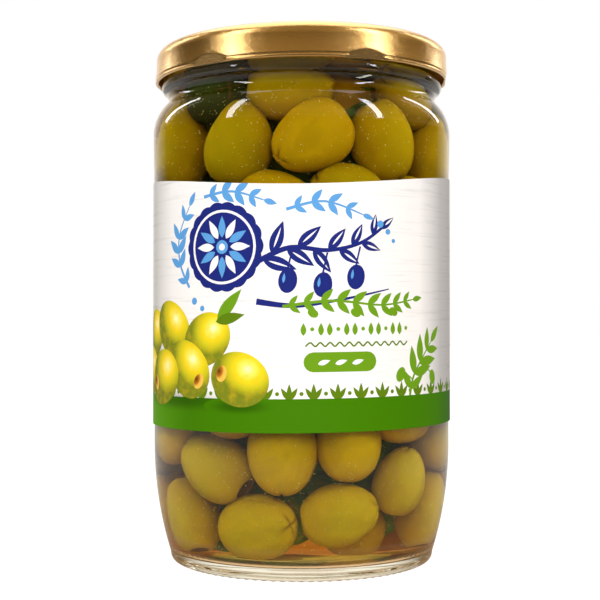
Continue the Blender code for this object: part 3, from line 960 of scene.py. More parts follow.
    def profile(self) -> Profile:
        """Half the outline of an olive along its long axis, from the bottom of its pit hole to its nose."""
        half, wide = self.long / 2, self.wide / 2
        turns = [math.pi * (i / 24) for i in range(25)]
        skin = [(wide * math.sin(a) * (1 + self.taper * math.cos(a)), -math.cos(a) * half) for a in turns]
        lip = [(r, z) for r, z in skin if r > self.pit_r + 0.7 or z > 0]
        mouth_z = lip[0][1]
        hole = [
            (0.0, -half + self.pit_depth),
            (self.pit_r * 0.7, -half + self.pit_depth - 0.3),
            (self.pit_r * 0.85, -half + self.pit_depth * 0.5),
            (self.pit_r, mouth_z + 1.0),
            (self.pit_r + 0.15, mouth_z + 0.25),
            (self.pit_r + 0.5, mouth_z - 0.05),
        ]
        return (hole + lip)[::-1]

    def one_olive(self, draw: random.Random) -> tuple[np.ndarray, list, np.ndarray]:
        """An olive of its own, long axis along Z, with the cross that the pitting needle cut in its nose.

        Args:
            draw: Source of this olive's unevenness.

        Returns:
            Points, faces and how stained each point is.
        """
        verts, faces = turn(self.profile(), self.sides)
        along = verts[:, 2] / (self.long / 2)
        rho, angle = round_the_axis(verts)
        swell = np.ones(len(verts))
        for count in (2, 3, 4):
            lean = draw.uniform(-2.0, 2.0)
            depth = 0.018 / count * 2
            swell += depth * np.cos(count * angle + draw.uniform(0, math.tau) + lean * along)
        swell += 0.015 * np.cos(3.0 * along + draw.uniform(0, math.tau))
        verts[:, :2] *= swell[:, None]
        bend = draw.uniform(-0.5, 0.5)
        verts[:, 0] += bend * (along**2 - 0.3)
        slit = np.maximum(np.cos(4 * angle), 0.0) ** 2
        near_nose = np.where(along > 0.6, np.exp(-((rho / 2.6) ** 2)), 0.0)
        verts[:, 2] -= near_nose * (0.5 + 1.0 * slit)
        stain = np.where(along > 0, np.clip(near_nose * 1.1 * slit, 0.0, 0.85), 0.0)
        around_pit = np.exp(-((np.maximum(rho - self.pit_r, 0.0) / 1.1) ** 2))
        stain = np.where(along < -0.1, np.maximum(stain, around_pit * 0.75), stain)
        # the walls of the pit hole get almost the full stem brown
        stain = np.where((rho < self.pit_r + 0.2) & (along < 0.2), 0.95, stain)
        return verts, faces, stain

    def keep_inside(self, verts: np.ndarray) -> np.ndarray:
        """Press points that pass the inside of the glass, floor or top of the heap back onto it."""
        rho, _ = round_the_axis(verts)
        verts[:, 2] = np.clip(verts[:, 2], self.floor_under(rho), self.high_z)
        verts[:, :2] *= np.minimum(1.0, self.jar.room(verts[:, 2]) / np.maximum(rho, 1e-9))[:, None]
        return verts

    def mark(self, piece: bpy.types.Object, marks: np.ndarray) -> None:
        """Store each point's tone, stain and painted-light brightening for the skin."""
        attribute = piece.data.color_attributes.new("olive", "FLOAT_COLOR", "POINT")
        attribute.data.foreach_set("color", marks.astype(np.float32).ravel())

    def build(self, skin: bpy.types.Material) -> bpy.types.Object:
        """Make every olive as one mesh, with its tone and stains in a colour attribute.

        Args:
            skin: The material.

        Returns:
            The piece.
        """
        places, axes, sizes, deep = self.settle()
        draw = random.Random(self.seed + 1)
        all_verts, all_faces, marks = [], [], []
        first = 0
        for number, (place, axis, size) in enumerate(zip(places, axes, sizes)):
            verts, faces, stain = self.one_olive(draw)
            tone = draw.uniform(0.15, 0.8)
            if number < len(self.front):
                tone = self.front[number][6]
            # painted shade: front-half olives up under the neck get the dark neck tone
            elif place[2] > self.neck_z and place[1] < 0:
                tone = self.neck_painted_shade_tone
            # painted shade: the deep ones get a darker green
            elif deep[number]:
                tone = self.deep_painted_shade_tone
            spin = Matrix.Rotation(draw.uniform(0, math.tau), 3, "Z")
            facing = Vector((0, 0, 1)).rotation_difference(Vector(axis)).to_matrix() @ spin
            verts = verts * size @ np.array(facing).T + place
            all_verts.append(self.keep_inside(verts))
            all_faces.extend(tuple(corner + first for corner in face) for face in faces)
            # painted light: the lowest olives are brightened
            pale = self.low_painted_light if place[2] < self.low_z else 1.0
            marks.extend((tone, mark, pale, 1.0) for mark in stain)
            first += len(verts)
        heap = make_object("olives_loose", np.concatenate(all_verts), all_faces, [skin])
        self.mark(heap, np.array(marks))
        log.info("olives: %d, %d faces", len(places), len(all_faces))
        return heap

    def build_core(self, skin: bpy.types.Material) -> bpy.types.Object:
        """Make the lumpy core that stops light passing through the middle of the heap, in the deep olives'
        darker tone, which is painted shade.
        """
        low, high, edge = 14.0, 132.0, 6
        side = [(self.core_r, z) for z in np.linspace(low + edge, high - edge, 60)]
        bottom = arc(self.core_r - edge, low + edge, edge, -90, -10, 8)
        top = arc(self.core_r - edge, high - edge, edge, 10, 90, 8)
        profile = ([(0.0, low)] + bottom + side + top + [(0.0, high)])[::-1]
        verts, faces = turn(profile, 96)
        _, angle = round_the_axis(verts)
        rows = verts[:, 2] / self.wide * math.pi
        lumps = np.abs(np.sin(rows) * np.cos(3.5 * angle)) + np.abs(np.cos(rows) * np.sin(3.5 * angle))
        verts[:, :2] *= (1 + 0.14 * (lumps - 0.7))[:, None]
        core = make_object("olives_core", verts, faces, [skin])
        self.mark(core, np.tile([self.deep_painted_shade_tone, 0.0, 1.0, 1.0], len(verts)))
        return core


@dataclass
class Crumbs:
    """Fine crumbs of flesh that float in the brine, most of them close to the glass."""

    jar: GlassJar
    count: int = 2600
    seed: int = 3
    zones: tuple = ((8.0, 41.0), (100.0, 133.0))  # heights that the label leaves open
    small: float = 0.06
    large: float = 0.175
    off_glass: float = 3.5

    def build(self, pulp: bpy.types.Material) -> bpy.types.Object:
        """Make the crumbs, each an uneven eight-sided grain."""
        draw = random.Random(self.seed)
        verts, faces = [], []
        for i in range(self.count):
            z = draw.uniform(*self.zones[i % 2])
            rho = float(self.jar.room(z)) + GAP - self.large - self.off_glass * draw.random() ** 3
            centre = spot(draw.gauss(-12.0, 50.0), rho, z)
            size = self.small + (self.large - self.small) * draw.random() ** 2
            first = len(verts)
            for axis in (Vector((1, 0, 0)), Vector((0, 1, 0)), Vector((0, 0, 1))):
                for way in (1, -1):
                    verts.append(tuple(centre + axis * way * size * draw.uniform(0.6, 1.4)))
            for x, y, top in product((0, 1), (2, 3), (4, 5)):
                corner = (first + x, first + y, first + top)
                faces.append(corner if (x + y + top) % 2 == 0 else corner[::-1])
        return make_object("brine_crumbs", verts, faces, [pulp])


@dataclass
class TwistLid:
    """Twist-off cap: recessed panel with a safety button, rounded edge, skirt, rolled hem and lugs."""

    radius: float = 42.85
    skirt_r: float = 42.5
    corner_wide: float = 3.9
    corner_high: float = 3.5
    sheet: float = 0.35
    top_z: float = 148.7
    panel_z: float = 147.0
    button_r: float = 12.5
    button_drop: float = 0.5
    hem_low_z: float = 138.5
    hem_roll: float = 0.5
    hem_in_r: float = 41.2
    lugs: int = 6
    first_lug: float = 24.4
    lug_in_r: float = 39.8
    lug_half_width: float = 7.5
    dent_depth: float = 0.66
    dent_top_z: float = 142.4
    askew_deg: float = 0.65  # it sits a little lower on the left
    columns: int = 480

    def profile(self) -> Profile:
        """The lid's section from the middle of the top, out and down, then back up inside."""
        drop = self.button_drop
        low_z = self.panel_z - drop
        button = [(-3.4, -drop), (-2.0, -drop * 0.75), (-0.8, -0.05), (0.0, 0.0), (3.0, 0.0)]
        panel = [(33.6, 0.0), (35.2, 0.08), (36.1, 0.7)]
        top = smooth_line(
            [
                (0.0, low_z),
                *((self.button_r + r, self.panel_z + z) for r, z in button),
                *((r, self.panel_z + z) for r, z in panel),
                *((r, self.top_z - z) for r, z in ((36.8, 0.35), (37.8, 0.03))),
            ],
            4,
        )
        turns = [way(a) for a in range(90, -1, -6)]
        wide, tall = self.corner_wide, self.corner_high
        top += [(self.skirt_r - wide * (1 - c), self.top_z - tall * (1 - s)) for c, s in turns]
        steps = 16
        high = self.top_z - self.corner_high
        fall = self.hem_low_z + 1.3 - self.top_z + self.corner_high
        flare = self.radius - self.skirt_r
        parts = range(1, steps + 1)
        skirt = [(self.skirt_r + flare * (i / steps) ** 2, high + fall * i / steps) for i in parts]
        hem_r = self.hem_roll
        hem_centre = self.radius - hem_r + 0.04
        hem = arc(hem_centre, self.hem_low_z + hem_r, hem_r, 60, -180, 14)
        inner = self.radius - self.sheet
        ridge = ((40.6, 0.55), (38.4, 0.0), (37.4, 0.0), (36.6, 0.4))
        back = [
            (hem_centre - hem_r, self.hem_low_z + 0.9),
            (inner - 0.1, self.hem_low_z + 1.5),
            (inner, self.hem_low_z + 2.2),
            (self.skirt_r - self.sheet, high),
            (self.skirt_r - self.sheet - 0.6, self.top_z - 2.0),
            *((r, self.top_z - self.sheet - z) for r, z in ridge),
            (35.2, self.panel_z - self.sheet),
            (self.button_r, self.panel_z - self.sheet),
            (self.button_r - 3.4, self.panel_z - self.sheet - drop),
            (0.0, self.panel_z - self.sheet - drop),
        ]
        return top + skirt + hem + back

    def press_lugs(self, verts: np.ndarray) -> np.ndarray:
        """Flatten the skirt in front of each lug and push the hem behind it in, under the thread.

        Args:
            verts: The turned lid's points.

        Returns:
            The same points, moved.
        """
        for i in range(self.lugs):
            out = np.array(spot(self.first_lug + i * 360 / self.lugs, 1, 0))
            beside = np.array(spot(self.first_lug + i * 360 / self.lugs + 90, 1, 0))
            distance = verts @ out
            across = verts @ beside
            fade = (self.dent_top_z - verts[:, 2]) / (self.dent_top_z - self.hem_low_z)
            limit = self.radius - self.dent_depth * np.clip(fade, 0.0, 1.15)
            skirt = (verts[:, 2] < self.dent_top_z) & (distance > limit) & (distance > 0)
            verts -= np.where(skirt, distance - limit, 0.0)[:, None] * out
            rho = np.hypot(verts[:, 0], verts[:, 1])
            facing = (distance > 0) & (np.abs(across) < self.lug_half_width)
            hook = facing & (verts[:, 2] < self.hem_low_z + 2.0) & (rho < self.radius - 0.9)
            width = np.cos(np.clip(across / self.lug_half_width, -1, 1) * math.pi / 2) ** 0.5
            pull = (self.hem_in_r - self.lug_in_r) * np.clip((self.radius - 0.9 - rho) / 0.5, 0, 1)
            verts -= np.where(hook, pull * width, 0.0)[:, None] * out
        return verts

    def build(self, gold: bpy.types.Material) -> bpy.types.Object:
        """Make the lid."""
        verts, faces = turn(self.profile(), self.columns)
        verts = self.press_lugs(verts)
        verts[:, 2] += verts[:, 0] * math.tan(math.radians(self.askew_deg))
        return make_object("lid_cap", verts, faces, [gold])


@dataclass
class Patch:
    """One printed shape: its outline in label millimetres, its ink, and the frame its shading uses."""

    outline: list[Point]
    ink: Ink | None = None
    frame: tuple[float, float, float, float, float] | None = None  # centre, half sizes and turn


@dataclass
class Label:
    """Paper label: white boards, a green band with a leaf frieze, a folk emblem and pictured olives.

    Print is laid out in millimetres: u runs round the jar from the middle of the front, to the right,
    and v runs up from the label's lower edge.
    """

    radius: float = 43.45
    paper: float = 0.22
    low_z: float = 40.1
    high_z: float = 109.65
    dip: float = 4.5
    askew: float = 0.49  # it is glued this much lower on the left and higher on the right
    half_angle: float = 171.0
    column_deg: float = 2.25
    band_v: float = 8.9
    patches: list[Patch] = field(default_factory=list)

    def top_v(self, u: float) -> float:
        """Height of the top edge, which dips a little across the front."""
        return self.high_z - self.low_z - self.dip * max(math.cos(u / self.radius), 0.0) ** 2

    def add(self, outline: list[Point], ink: Ink | None, frame: tuple | None = None) -> None:
        """Lay a shape over those laid before it."""
        self.patches.append(Patch(outline, ink, frame))

    @staticmethod
    def turned(u: float, v: float, degrees: float, points: list[Point]) -> list[Point]:
        """Points turned about their origin and moved to u, v."""
        c, s = way(degrees)
        return [(u + x * c - y * s, v + x * s + y * c) for x, y in points]

    def oval(self, u: float, v: float, a: float, b: float, ink: Ink | None, tilt: float = 0.0,
             shaded: bool = False, sides: int = 28) -> None:
        """Lay an oval, at a tilt in degrees; a shaded one keeps its frame for the picture's shading."""
        turns = [math.tau * i / sides for i in range(sides)]
        outline = self.turned(u, v, tilt, [(a * math.cos(t), b * math.sin(t)) for t in turns])
        self.add(outline, ink, (u, v, a, b, tilt) if shaded else None)

    def dot(self, u: float, v: float, r: float, ink: Ink, sides: int) -> None:
        """Lay a round dot."""
        self.oval(u, v, r, r, ink, sides=sides)

    def leaf(self, u: float, v: float, length: float, width: float, angle: float, ink: Ink) -> None:
        """Lay a pointed leaf whose stalk end is at u, v, at an angle in degrees from the right."""
        steps = 9
        shares = [(side, i / steps if side > 0 else 1 - i / steps) for side in (1, -1) for i in range(steps)]
        points = [(length * t, side * width / 2 * math.sin(math.pi * t**0.8)) for side, t in shares]
        self.add(self.turned(u, v, angle, points)[::-1], ink)

    def stroke(self, line: list[Point], widths: tuple[float, float], ink: Ink) -> None:
        """Lay a stem: a smooth line whose width changes evenly from one end to the other."""
        curve = smooth_line(line, 6)
        left, right = [], []
        for i, (u, v) in enumerate(curve):
            before, after = curve[max(i - 1, 0)], curve[min(i + 1, len(curve) - 1)]
            du, dv = after[0] - before[0], after[1] - before[1]
            reach = math.hypot(du, dv)
            half = (widths[0] + (widths[1] - widths[0]) * i / (len(curve) - 1)) / 2
            left.append((u - dv / reach * half, v + du / reach * half))
            right.append((u + dv / reach * half, v - du / reach * half))
        self.add(right + left[::-1], ink)

    def sprig(self, line: list[Point], leaves: int, size: tuple[float, float], ink: Ink) -> None:
        """Lay a stem with pairs of leaves along it and one at its end.

        Args:
            line: Points that the stem passes.
            leaves: How many pairs.
            size: A leaf's length and width in the middle of the stem.
            ink: The ink of all of it.
        """
        curve = smooth_line(line, 10)
        self.stroke(line, (0.9, 0.35), ink)
        for k in range(leaves):
            i = int((k + 0.7) / (leaves + 0.4) * (len(curve) - 2))
            (u, v), (nu, nv) = curve[i], curve[i + 1]
            heading = math.degrees(math.atan2(nv - v, nu - u))
            grow = 0.75 + 0.4 * math.sin(math.pi * (k + 0.5) / leaves)
            for side in (42, -42):
                self.leaf(u, v, size[0] * grow, size[1] * grow, heading + side, ink)
        (u, v), (bu, bv) = curve[-1], curve[-2]
        heading = math.degrees(math.atan2(v - bv, u - bu))
        self.leaf(u, v, size[0] * 0.9, size[1] * 0.9, heading, ink)

    def branch(self, line: list[Point], leaves: int, size: tuple[float, float]) -> None:
        """Lay a bold navy branch whose leaves have a white vein.

        Args:
            line: Points that the stem passes.
            leaves: How many pairs of leaves.
            size: The largest leaf's length and width.
        """
        curve = smooth_line(line, 10)
        self.stroke(line, (1.5, 0.7), Ink.NAVY)
        for k in range(2 * leaves + 1):
            i = int((k + 0.6) / (2 * leaves + 0.9) * (len(curve) - 2))
            (u, v), (nu, nv) = curve[i], curve[i + 1]
            heading = math.degrees(math.atan2(nv - v, nu - u)) + (46 if k % 2 else -44)
            if k == 2 * leaves:
                heading += 44
            grow = 1.0 - 0.045 * k
            self.leaf(u, v, size[0] * grow, size[1] * grow, heading, Ink.NAVY)
            c, s = way(heading)
            self.leaf(u + 1.8 * c, v + 1.8 * s, size[0] * grow * 0.62, 0.55, heading, Ink.PLANKS)

    def palmette(self, u: float, v: float, size: float, ink: Ink) -> None:
        """Lay a fan of three petals standing on a point."""
        for lean, long in ((-34.0, 0.9), (0.0, 1.0), (34.0, 0.9)):
            self.leaf(u, v, size * long, size * 0.3, 90 - lean, ink)

    def medallion(self, u: float, v: float, size: float) -> None:
        """Lay a round folk flower: a scalloped disc with rings of petals."""
        lobes = 18
        edge = []
        for i in range(lobes * 6):
            t = math.tau * i / (lobes * 6)
            r = size * (1 + 0.045 * abs(math.cos(lobes * t / 2)))
            edge.append((u + r * math.cos(t), v + r * math.sin(t)))
        self.add(edge, Ink.NAVY)
        self.dot(u, v, size * 0.86, Ink.PLANKS, 40)
        self.dot(u, v, size * 0.80, Ink.NAVY, 40)
        for k in range(12):
            angle = 360 / 12 * k
            c, s = way(angle)
            ink = Ink.SKY if k % 2 else Ink.PLANKS
            self.leaf(u + c * size * 0.22, v + s * size * 0.22, size * 0.5, size * 0.19, angle, ink)
        self.dot(u, v, size * 0.16, Ink.SKY, 20)
        self.dot(u, v, size * 0.08, Ink.PLANKS, 14)

    def emblem(self) -> None:
        """Lay the blue emblem at the upper left: a flower, a navy branch with three olives, an underline and
        leafy sprays.
        """
        self.medallion(-22.0, 49.0, 11.5)
        self.branch([(-11.5, 45.0), (-3.0, 48.4), (7.0, 47.6), (16.0, 49.6), (23.5, 54.5)], 5, (9.6, 3.7))
        for u, v, top in ((-3.6, 39.8, 47.5), (5.6, 38.6, 47.0), (14.6, 40.6, 48.6)):
            self.stroke([(u + 1.2, top), (u + 0.3, v + 4.4), (u, v + 3.0)], (0.5, 0.5), Ink.NAVY)
            self.oval(u, v, 2.5, 3.3, Ink.NAVY, tilt=-8, sides=24)
            self.leaf(u - 1.2, v - 0.6, 2.6, 0.8, 82, Ink.SKY)
        self.stroke([(-12.0, 34.4), (-2.0, 33.2), (10.0, 34.6), (24.5, 37.4)], (1.7, 0.3), Ink.NAVY)
        self.sprig([(-33.5, 38.5), (-37.5, 45.0), (-38.0, 52.5), (-33.5, 60.5)], 5, (5.0, 2.0), Ink.SKY)
        self.sprig([(-28.0, 62.6), (-19.0, 63.6), (-10.0, 61.0)], 4, (4.2, 1.8), Ink.SKY)
        self.sprig([(-4.0, 58.4), (6.0, 60.4), (16.5, 57.0)], 4, (4.0, 1.6), Ink.SKY)
        left_dots = ((-31.5, 34.8, 1.0), (-28.6, 32.8, 0.8))
        right_dots = ((21.8, 54.6, 1.0), (24.2, 52.6, 0.8), (26.0, 50.2, 0.6))
        for u, v, r in left_dots + right_dots:
            self.dot(u, v, r, Ink.SKY, 12)

    def green_rows(self) -> None:
        """Lay the green rows right of the middle: an olive twig, a string of drops and a wave."""
        self.sprig([(-5.0, 33.0), (8.0, 34.4), (22.0, 33.2), (33.0, 34.6)], 9, (4.4, 1.7), Ink.LEAF)
        for u, v in ((3.0, 31.2), (14.5, 31.2), (26.0, 31.4)):
            self.oval(u, v, 1.5, 1.1, Ink.LEAF, tilt=-30, sides=16)
        for k in range(14):
            u = 0.5 + k * 2.3
            if k % 3 == 1:
                self.dot(u, 27.0, 0.55, Ink.LEAF, 10)
            else:
                self.leaf(u, 25.3, 3.4, 1.5, 90, Ink.LEAF)
        wave = [(1.0 + 1.3 * k, 23.0 + (0.5 if k % 2 else -0.5)) for k in range(24)]
        self.stroke(wave, (0.45, 0.45), Ink.MOSS)

    def tag(self, u: float, v: float, width: float, height: float) -> None:
        """Lay a plain green tag with round ends and three small leaves left white."""
        ends = []
        for centre, start in ((u + width / 2 - height / 2, -90), (u - width / 2 + height / 2, 90)):
            for i in range(9):
                a = math.radians(start + 180 * i / 8)
                ends.append((centre + height / 2 * math.cos(a), v + height / 2 * math.sin(a)))
        self.add(ends, Ink.LEAF)
        for k in (-1, 0, 1):
            self.leaf(u + k * 4.6 - 1.6, v - 0.5, 3.4, 1.3, 16, Ink.PLANKS)

    def frieze(self) -> None:
        """Lay the row of leaf fans and dots that stands on the green band all round."""
        pitch = 6.4
        count = 40
        for k in range(count):
            u = (k - (count - 1) / 2) * pitch
            self.palmette(u, self.band_v - 0.4, 4.4, Ink.MOSS)
            self.dot(u + pitch / 2, self.band_v + 1.3, 0.55, Ink.MOSS, 10)

    def corner_sprig(self) -> None:
        """Lay the upright olive sprig at the right, with two olives."""
        stem = [(32.0, self.band_v), (33.5, 14.0), (37.5, 19.0), (41.5, 23.0)]
        self.sprig(stem, 4, (7.0, 2.5), Ink.LEAF)
        self.oval(28.6, 14.6, 2.1, 1.5, Ink.LEAF, tilt=60, sides=18)
        self.oval(42.4, 13.4, 2.1, 1.5, Ink.LEAF, tilt=110, sides=18)
        self.stroke([(33.2, 13.0), (30.6, 14.6), (29.0, 14.4)], (0.4, 0.4), Ink.LEAF)
        self.stroke([(36.0, 17.4), (39.6, 15.8), (42.0, 14.2)], (0.4, 0.4), Ink.LEAF)

    def pictured_olives(self) -> None:
        """Lay the printed heap of olives at the lower left, back ones first, with soft shadows."""
        heap = (
            (-55.5, 26.0, 8.6, 6.8, 20),
            (-42.0, 27.5, 9.2, 7.2, -28),
            (-27.5, 24.5, 8.4, 6.9, 30),
            (-60.0, 15.5, 8.4, 6.9, -10),
            (-34.5, 16.5, 9.0, 7.3, -35),
            (-47.5, 14.0, 9.2, 7.6, 18),
            (-17.0, 14.0, 8.6, 7.2, -16),
        )
        self.oval(-40.0, 8.2, 30.0, 3.6, None, shaded=True, sides=48)
        self.oval(-17.0, 6.9, 11.0, 2.4, None, shaded=True, sides=36)
        pits = {4: 1, 5: -1, 6: -1}  # the end that shows a pit hole
        for number, (u, v, a, b, tilt) in enumerate(heap):
            self.oval(u, v, a, b, Ink.OLIVE, tilt, shaded=True, sides=44)
            if number in pits:
                side = pits[number]
                c, s = way(tilt)
                mouth_u, mouth_v = u + side * a * 0.62 * c, v + side * a * 0.62 * s
                self.oval(mouth_u, mouth_v, 1.6, 2.2, Ink.PIT, tilt, shaded=True, sides=22)
        self.leaf(-23.5, 29.6, 11.0, 3.4, 48, Ink.LEAF)
        self.leaf(-24.0, 29.2, 9.0, 3.0, 12, Ink.MOSS)

    def back_print(self) -> None:
        """Lay a smaller flower with two sprays on each side of the back."""
        for side in (-1, 1):
            self.medallion(side * 96.0, 40.0, 9.0)
            stem = [(side * 96.0 - 11, 30.0), (side * 96.0, 26.5), (side * 96.0 + 11, 30.0)]
            self.sprig(stem, 6, (4.4, 1.8), Ink.LEAF)

    def lay_out(self) -> None:
        """Lay the whole print, back to front."""
        half = math.radians(self.half_angle) * self.radius
        steps = 96
        tops = [half - 2 * half * i / steps for i in range(steps + 1)]
        self.add([(-half, 0.0), (half, 0.0), *[(u, self.top_v(u)) for u in tops]], Ink.PLANKS)
        self.frieze()
        wide = half + 1
        self.add([(-wide, -1.0), (wide, -1.0), (wide, self.band_v), (-wide, self.band_v)], Ink.BAND)
        self.emblem()
        self.green_rows()
        self.tag(10.5, 18.4, 20.0, 5.2)
        self.corner_sprig()
        self.back_print()
        self.pictured_olives()

    def build(self, materials: dict[Ink, bpy.types.Material]) -> bpy.types.Object:
        """Make the label as one sheet whose faces follow the outlines of the print.

        Args:
            materials: A material for each ink.

        Returns:
            The piece.
        """
        self.lay_out()
        points: list[Vector] = []
        edges: list = []
        outlines: list = []
        for patch in self.patches:
            first = len(points)
            points.extend(Vector(p) for p in patch.outline)
            outlines.append(list(range(first, len(points))))
        steps = int(self.half_angle / self.column_deg)
        for i in range(-steps, steps + 1):
            u = math.radians(i * self.column_deg) * self.radius
            edges.append((len(points), len(points) + 1))
            points.extend((Vector((u, -0.5)), Vector((u, self.high_z - self.low_z + 0.5))))
        flat, _, faces, _, _, origins = delaunay_2d_cdt(points, edges, outlines, 1, 1e-4)
        kept = [(face, origin) for face, origin in zip(faces, origins) if 0 in origin]
        used = sorted({corner for face, _ in kept for corner in face})
        renumber = {old: new for new, old in enumerate(used)}
        sheet = np.array([flat[i] for i in used])
        rows = [tuple(renumber[c] for c in face) for face, _ in kept]
        return self.raise_sheet(sheet, rows, [origin for _, origin in kept], materials)

    def raise_sheet(self, sheet: np.ndarray, rows: list, origins: list, materials: dict) -> bpy.types.Object:
        """Wrap the flat print round the jar, give it thickness and dress it.

        Args:
            sheet: The flat points.
            rows: Its triangles.
            origins: For each triangle, the patches that it lies in.
            materials: A material for each ink.

        Returns:
            The piece.
        """
        count = len(sheet)
        angle = sheet[:, 0] / self.radius
        front = np.stack([np.sin(angle), -np.cos(angle), np.zeros(count)], axis=1)
        raised = sheet[:, 1] + self.low_z + self.askew * np.sin(angle)
        height = np.stack([np.zeros(count), np.zeros(count), raised], axis=1)
        verts = np.concatenate([front * self.radius + height, front * (self.radius - self.paper) + height])
        sides = dict.fromkeys(edge for a, b, c in rows for edge in ((a, b), (b, c), (c, a)))
        rim = [edge for edge in sides if (edge[1], edge[0]) not in sides]
        faces = list(rows) + [tuple(c + count for c in row[::-1]) for row in rows]
        faces += [(b, a, a + count, b + count) for a, b in rim]
        label = make_object("label_wrap", verts, faces, [materials[ink] for ink in Ink])
        mesh = label.data
        flat_map = mesh.uv_layers.new(name="sheet")
        shape_map = mesh.uv_layers.new(name="shape")
        slots = []
        frames = []
        for origin in origins:
            ink, frame = Ink.PLANKS, None
            for number in sorted(origin):
                patch = self.patches[number]
                frame = patch.frame
                ink = patch.ink or ink
            slots.append(ink.value)
            frames.append(frame)
        slots += [Ink.BACK.value] * (len(faces) - len(rows))
        mesh.polygons.foreach_set("material_index", slots)
        for polygon in mesh.polygons:
            frame = frames[polygon.index] if polygon.index < len(frames) else None
            for loop in polygon.loop_indices:
                u, v = sheet[mesh.loops[loop].vertex_index % count]
                flat_map.data[loop].uv = (u, v)
                shape_map.data[loop].uv = self.local(u, v, frame)
        normals = np.concatenate([front, -front])
        mesh.normals_split_custom_set_from_vertices(normals.tolist())
        log.info("label: %d patches, %d faces", len(self.patches), len(faces))
        return label

    @staticmethod
    def local(u: float, v: float, frame: tuple | None) -> Point:
        """Coordinates inside an oval's frame, 1 at its edge; far outside where there is none."""
        if frame is None:
            return (9.0, 9.0)
        cu, cv, a, b, tilt = frame
        c, s = way(tilt)
        x, y = (u - cu) * c + (v - cv) * s, -(u - cu) * s + (v - cv) * c
        x, y = x / a, y / b
        return (x * c - y * s, x * s + y * c)


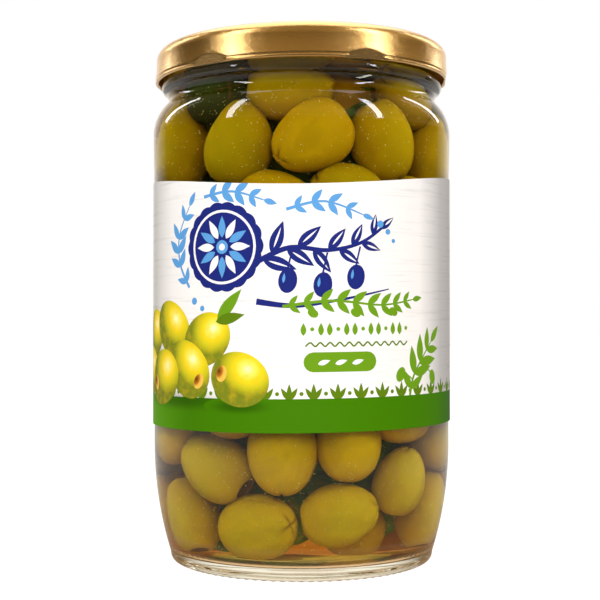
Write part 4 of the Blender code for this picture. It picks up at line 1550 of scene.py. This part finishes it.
@dataclass
class Studio:
    """White floor, soft lights and the camera at the photograph's place."""

    frame_px: float = 600.0
    focal_px: float = 1247.0
    distance: float = 368.0
    camera_z: float = 70.6
    horizon_px: float = 316.0  # row of the camera's own height in the photograph
    axis_px: float = 301.5  # column of the jar's axis
    sensor: float = 36.0
    light_away: float = 1.1
    # colours of the room on the camera's side, from straight down to straight up
    front: Stops = (
        (0.0, "#3A3022"),
        (0.585, "#3A3022"),
        (0.604, "#BCA478"),
        (0.632, "#76664A"),
        (0.655, "#76664A"),
        (0.69, "#A08B66"),
        (1.0, "#8C7C5C"),
    )
    behind: tuple[float, float, float, float] = (1.1, 1.03, 0.94, 1.0)
    floor_z: float = -0.02  # just under the foot
    # name, bearing, rise, width and height in metres, watts and roll of the lamps that the glass mirrors
    lamps: tuple = (
        ("key_right", 60, 31, (0.10, 0.76), 3.7),
        ("key_left", -55, 31, (0.11, 0.76), 3.3),
        ("rim_right", 126, 30, (0.09, 0.60), 1.3, 20),
        ("rim_left", -123, 30, (0.09, 0.60), 1.3, -20),
        ("glow_right", 46, 21, (0.8, 0.25), 0.12),
        ("ceiling", 180, 74, (1.2, 1.2), 9.0),
    )

    def camera(self) -> None:
        """Place the camera in front of the label."""
        data = bpy.data.cameras.new("camera")
        data.sensor_width = self.sensor
        data.lens = self.focal_px / self.frame_px * self.sensor
        data.clip_start = 0.01
        camera = bpy.data.objects.new("camera", data)
        camera.location = Vector((0.0, -self.distance, self.camera_z)) * MM
        pitch = math.atan((self.horizon_px - self.frame_px / 2) / self.focal_px)
        yaw = math.atan((self.axis_px - self.frame_px / 2) / self.focal_px)
        camera.rotation_euler = (math.pi / 2 + pitch, 0.0, yaw)
        bpy.context.scene.collection.objects.link(camera)
        bpy.context.scene.camera = camera

    def softbox(
        self, name: str, azimuth: float, rise: float, size: Point, power: float, roll: float = 0.0
    ) -> bpy.types.Object:
        """Hang a strip light that faces the jar.

        Args:
            name: The lamp's name.
            azimuth: Its bearing in degrees, 0 at the camera.
            rise: Its height above the jar's middle, in degrees.
            size: Width and height in metres.
            power: Watts.
            roll: How far it leans, in degrees.

        Returns:
            The lamp.
        """
        data = bpy.data.lights.new(name, "AREA")
        data.shape = "RECTANGLE"
        data.size, data.size_y = size
        data.energy = power
        lamp = bpy.data.objects.new(name, data)
        level, high = way(rise)
        lamp.location = spot(azimuth, self.light_away * level, self.light_away * high + 0.1)
        aim = (Vector((0.0, 0.0, 0.1)) - lamp.location).to_track_quat("-Z", "Y").to_matrix()
        lamp.rotation_euler = (aim @ Matrix.Rotation(math.radians(roll), 3, "Z")).to_euler()
        lamp.visible_camera = False
        bpy.context.scene.collection.objects.link(lamp)
        return lamp

    def world(self) -> None:
        """A white room that is dim on the camera's side, seen as plain white behind the jar."""
        world = bpy.data.worlds.new("studio")
        bpy.context.scene.world = world
        world.use_nodes = True
        nodes = Nodes(world.node_tree)
        nodes.tree.nodes.clear()
        look = nodes.add("ShaderNodeTexCoord").outputs["Generated"]
        across, ahead, up = nodes.add("ShaderNodeSeparateXYZ", inputs={0: look}).outputs
        front = nodes.ramp(nodes.span(up, -1.0, 1.0), self.front)
        room = nodes.times(front, nodes.span(across, -0.95, -0.5, 0.45, 1.0))
        lit = nodes.mix(nodes.span(ahead, 0.58, 0.9), room, self.behind)
        seen = nodes.mix(nodes.ray("Camera"), lit, (1.0, 1.0, 1.0, 1.0))
        light = nodes.add("ShaderNodeBackground", inputs={"Color": seen, "Strength": 1.0})
        nodes.add("ShaderNodeOutputWorld", inputs={"Surface": light.outputs[0]})

    def floor(self) -> bpy.types.Object:
        """A wide white floor at the jar's foot."""
        wide, near, far = 1500.0, 1500.0, 2500.0
        square = ((-wide, -near), (wide, -near), (wide, far), (-wide, far))
        verts = np.array([(x, y, self.floor_z) for x, y in square])
        return make_object("floor", verts, [(0, 1, 2, 3)], [WhitePaint().build()])

    def build(self) -> bpy.types.Object:
        """Set the stage and return the floor."""
        self.camera()
        self.world()
        for lamp in self.lamps:
            self.softbox(*lamp)
        for name, rise, power in (("front_fill", 36, 7.0), ("low_fill", 7, 11.0)):
            fill = self.softbox(name, 0, rise, (0.9, 0.9), power)
            fill.visible_glossy = fill.visible_transmission = False
            fill.data.color = linear("#FDF9F8")[:3]
        scene = bpy.context.scene
        scene.view_settings.view_transform = "Standard"
        scene.cycles.max_bounces = 30
        scene.cycles.transmission_bounces = 28
        scene.cycles.transparent_max_bounces = 16
        scene.cycles.glossy_bounces = 24
        return self.floor()


INKS = (
    PrintedPaper("print_white_boards"),
    PrintedPaper("print_green_band", Ink.BAND, "#3A7100", "#265A00"),
    PrintedPaper("print_navy", Ink.NAVY, "#1B2570"),
    PrintedPaper("print_sky_blue", Ink.SKY, "#5392CB"),
    PrintedPaper("print_leaf_green", Ink.LEAF, "#628F18"),
    PrintedPaper("print_moss_green", Ink.MOSS, "#54740F"),
    PrintedPaper("print_olive", Ink.OLIVE, "#B9B41E", "#6F7A1C"),
    PrintedPaper("print_pit", Ink.PIT, "#A8661E", "#4E2408"),
    PrintedPaper("label_paper_back", Ink.BACK, "#E9E7E0"),
)


def corners() -> list:
    """The lowest and highest corner of everything shown, as plain lists."""
    return [[float(value) for value in corner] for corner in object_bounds()]


def main() -> None:
    """Build every piece round the frame."""
    logging.basicConfig(level=logging.INFO, format="%(name)s: %(message)s")
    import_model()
    Studio().build()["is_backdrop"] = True

    jar = GlassJar()
    heap = OliveHeap(jar)
    skin = OliveSkin().build()
    wetted = FlintGlass("soda_lime_glass_wetted", mirror=0.09, ripple_depth_mm=0.03)
    pieces = [
        (jar.build(FlintGlass().build(), wetted.build()), "jar_glass", "glass"),
        (Liquid(jar).build(Brine().build()), None, "glass"),
        (heap.build(skin), "olives", "olives"),
        (heap.build_core(skin), "olives", "olives"),
        (Crumbs(jar).build(Pulp().build()), None, "olives"),
        (TwistLid().build(GoldLacquer().build()), "lid", "lid"),
        (Label().build({finish.ink: finish.build() for finish in INKS}), "label", "label"),
    ]
    for piece, node, slot in pieces:
        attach(piece, "root")
        if node:
            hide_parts(node)
        log.info("%s: %d faces", piece.name, len(piece.data.polygons))


if __name__ == "__main__":
    main()
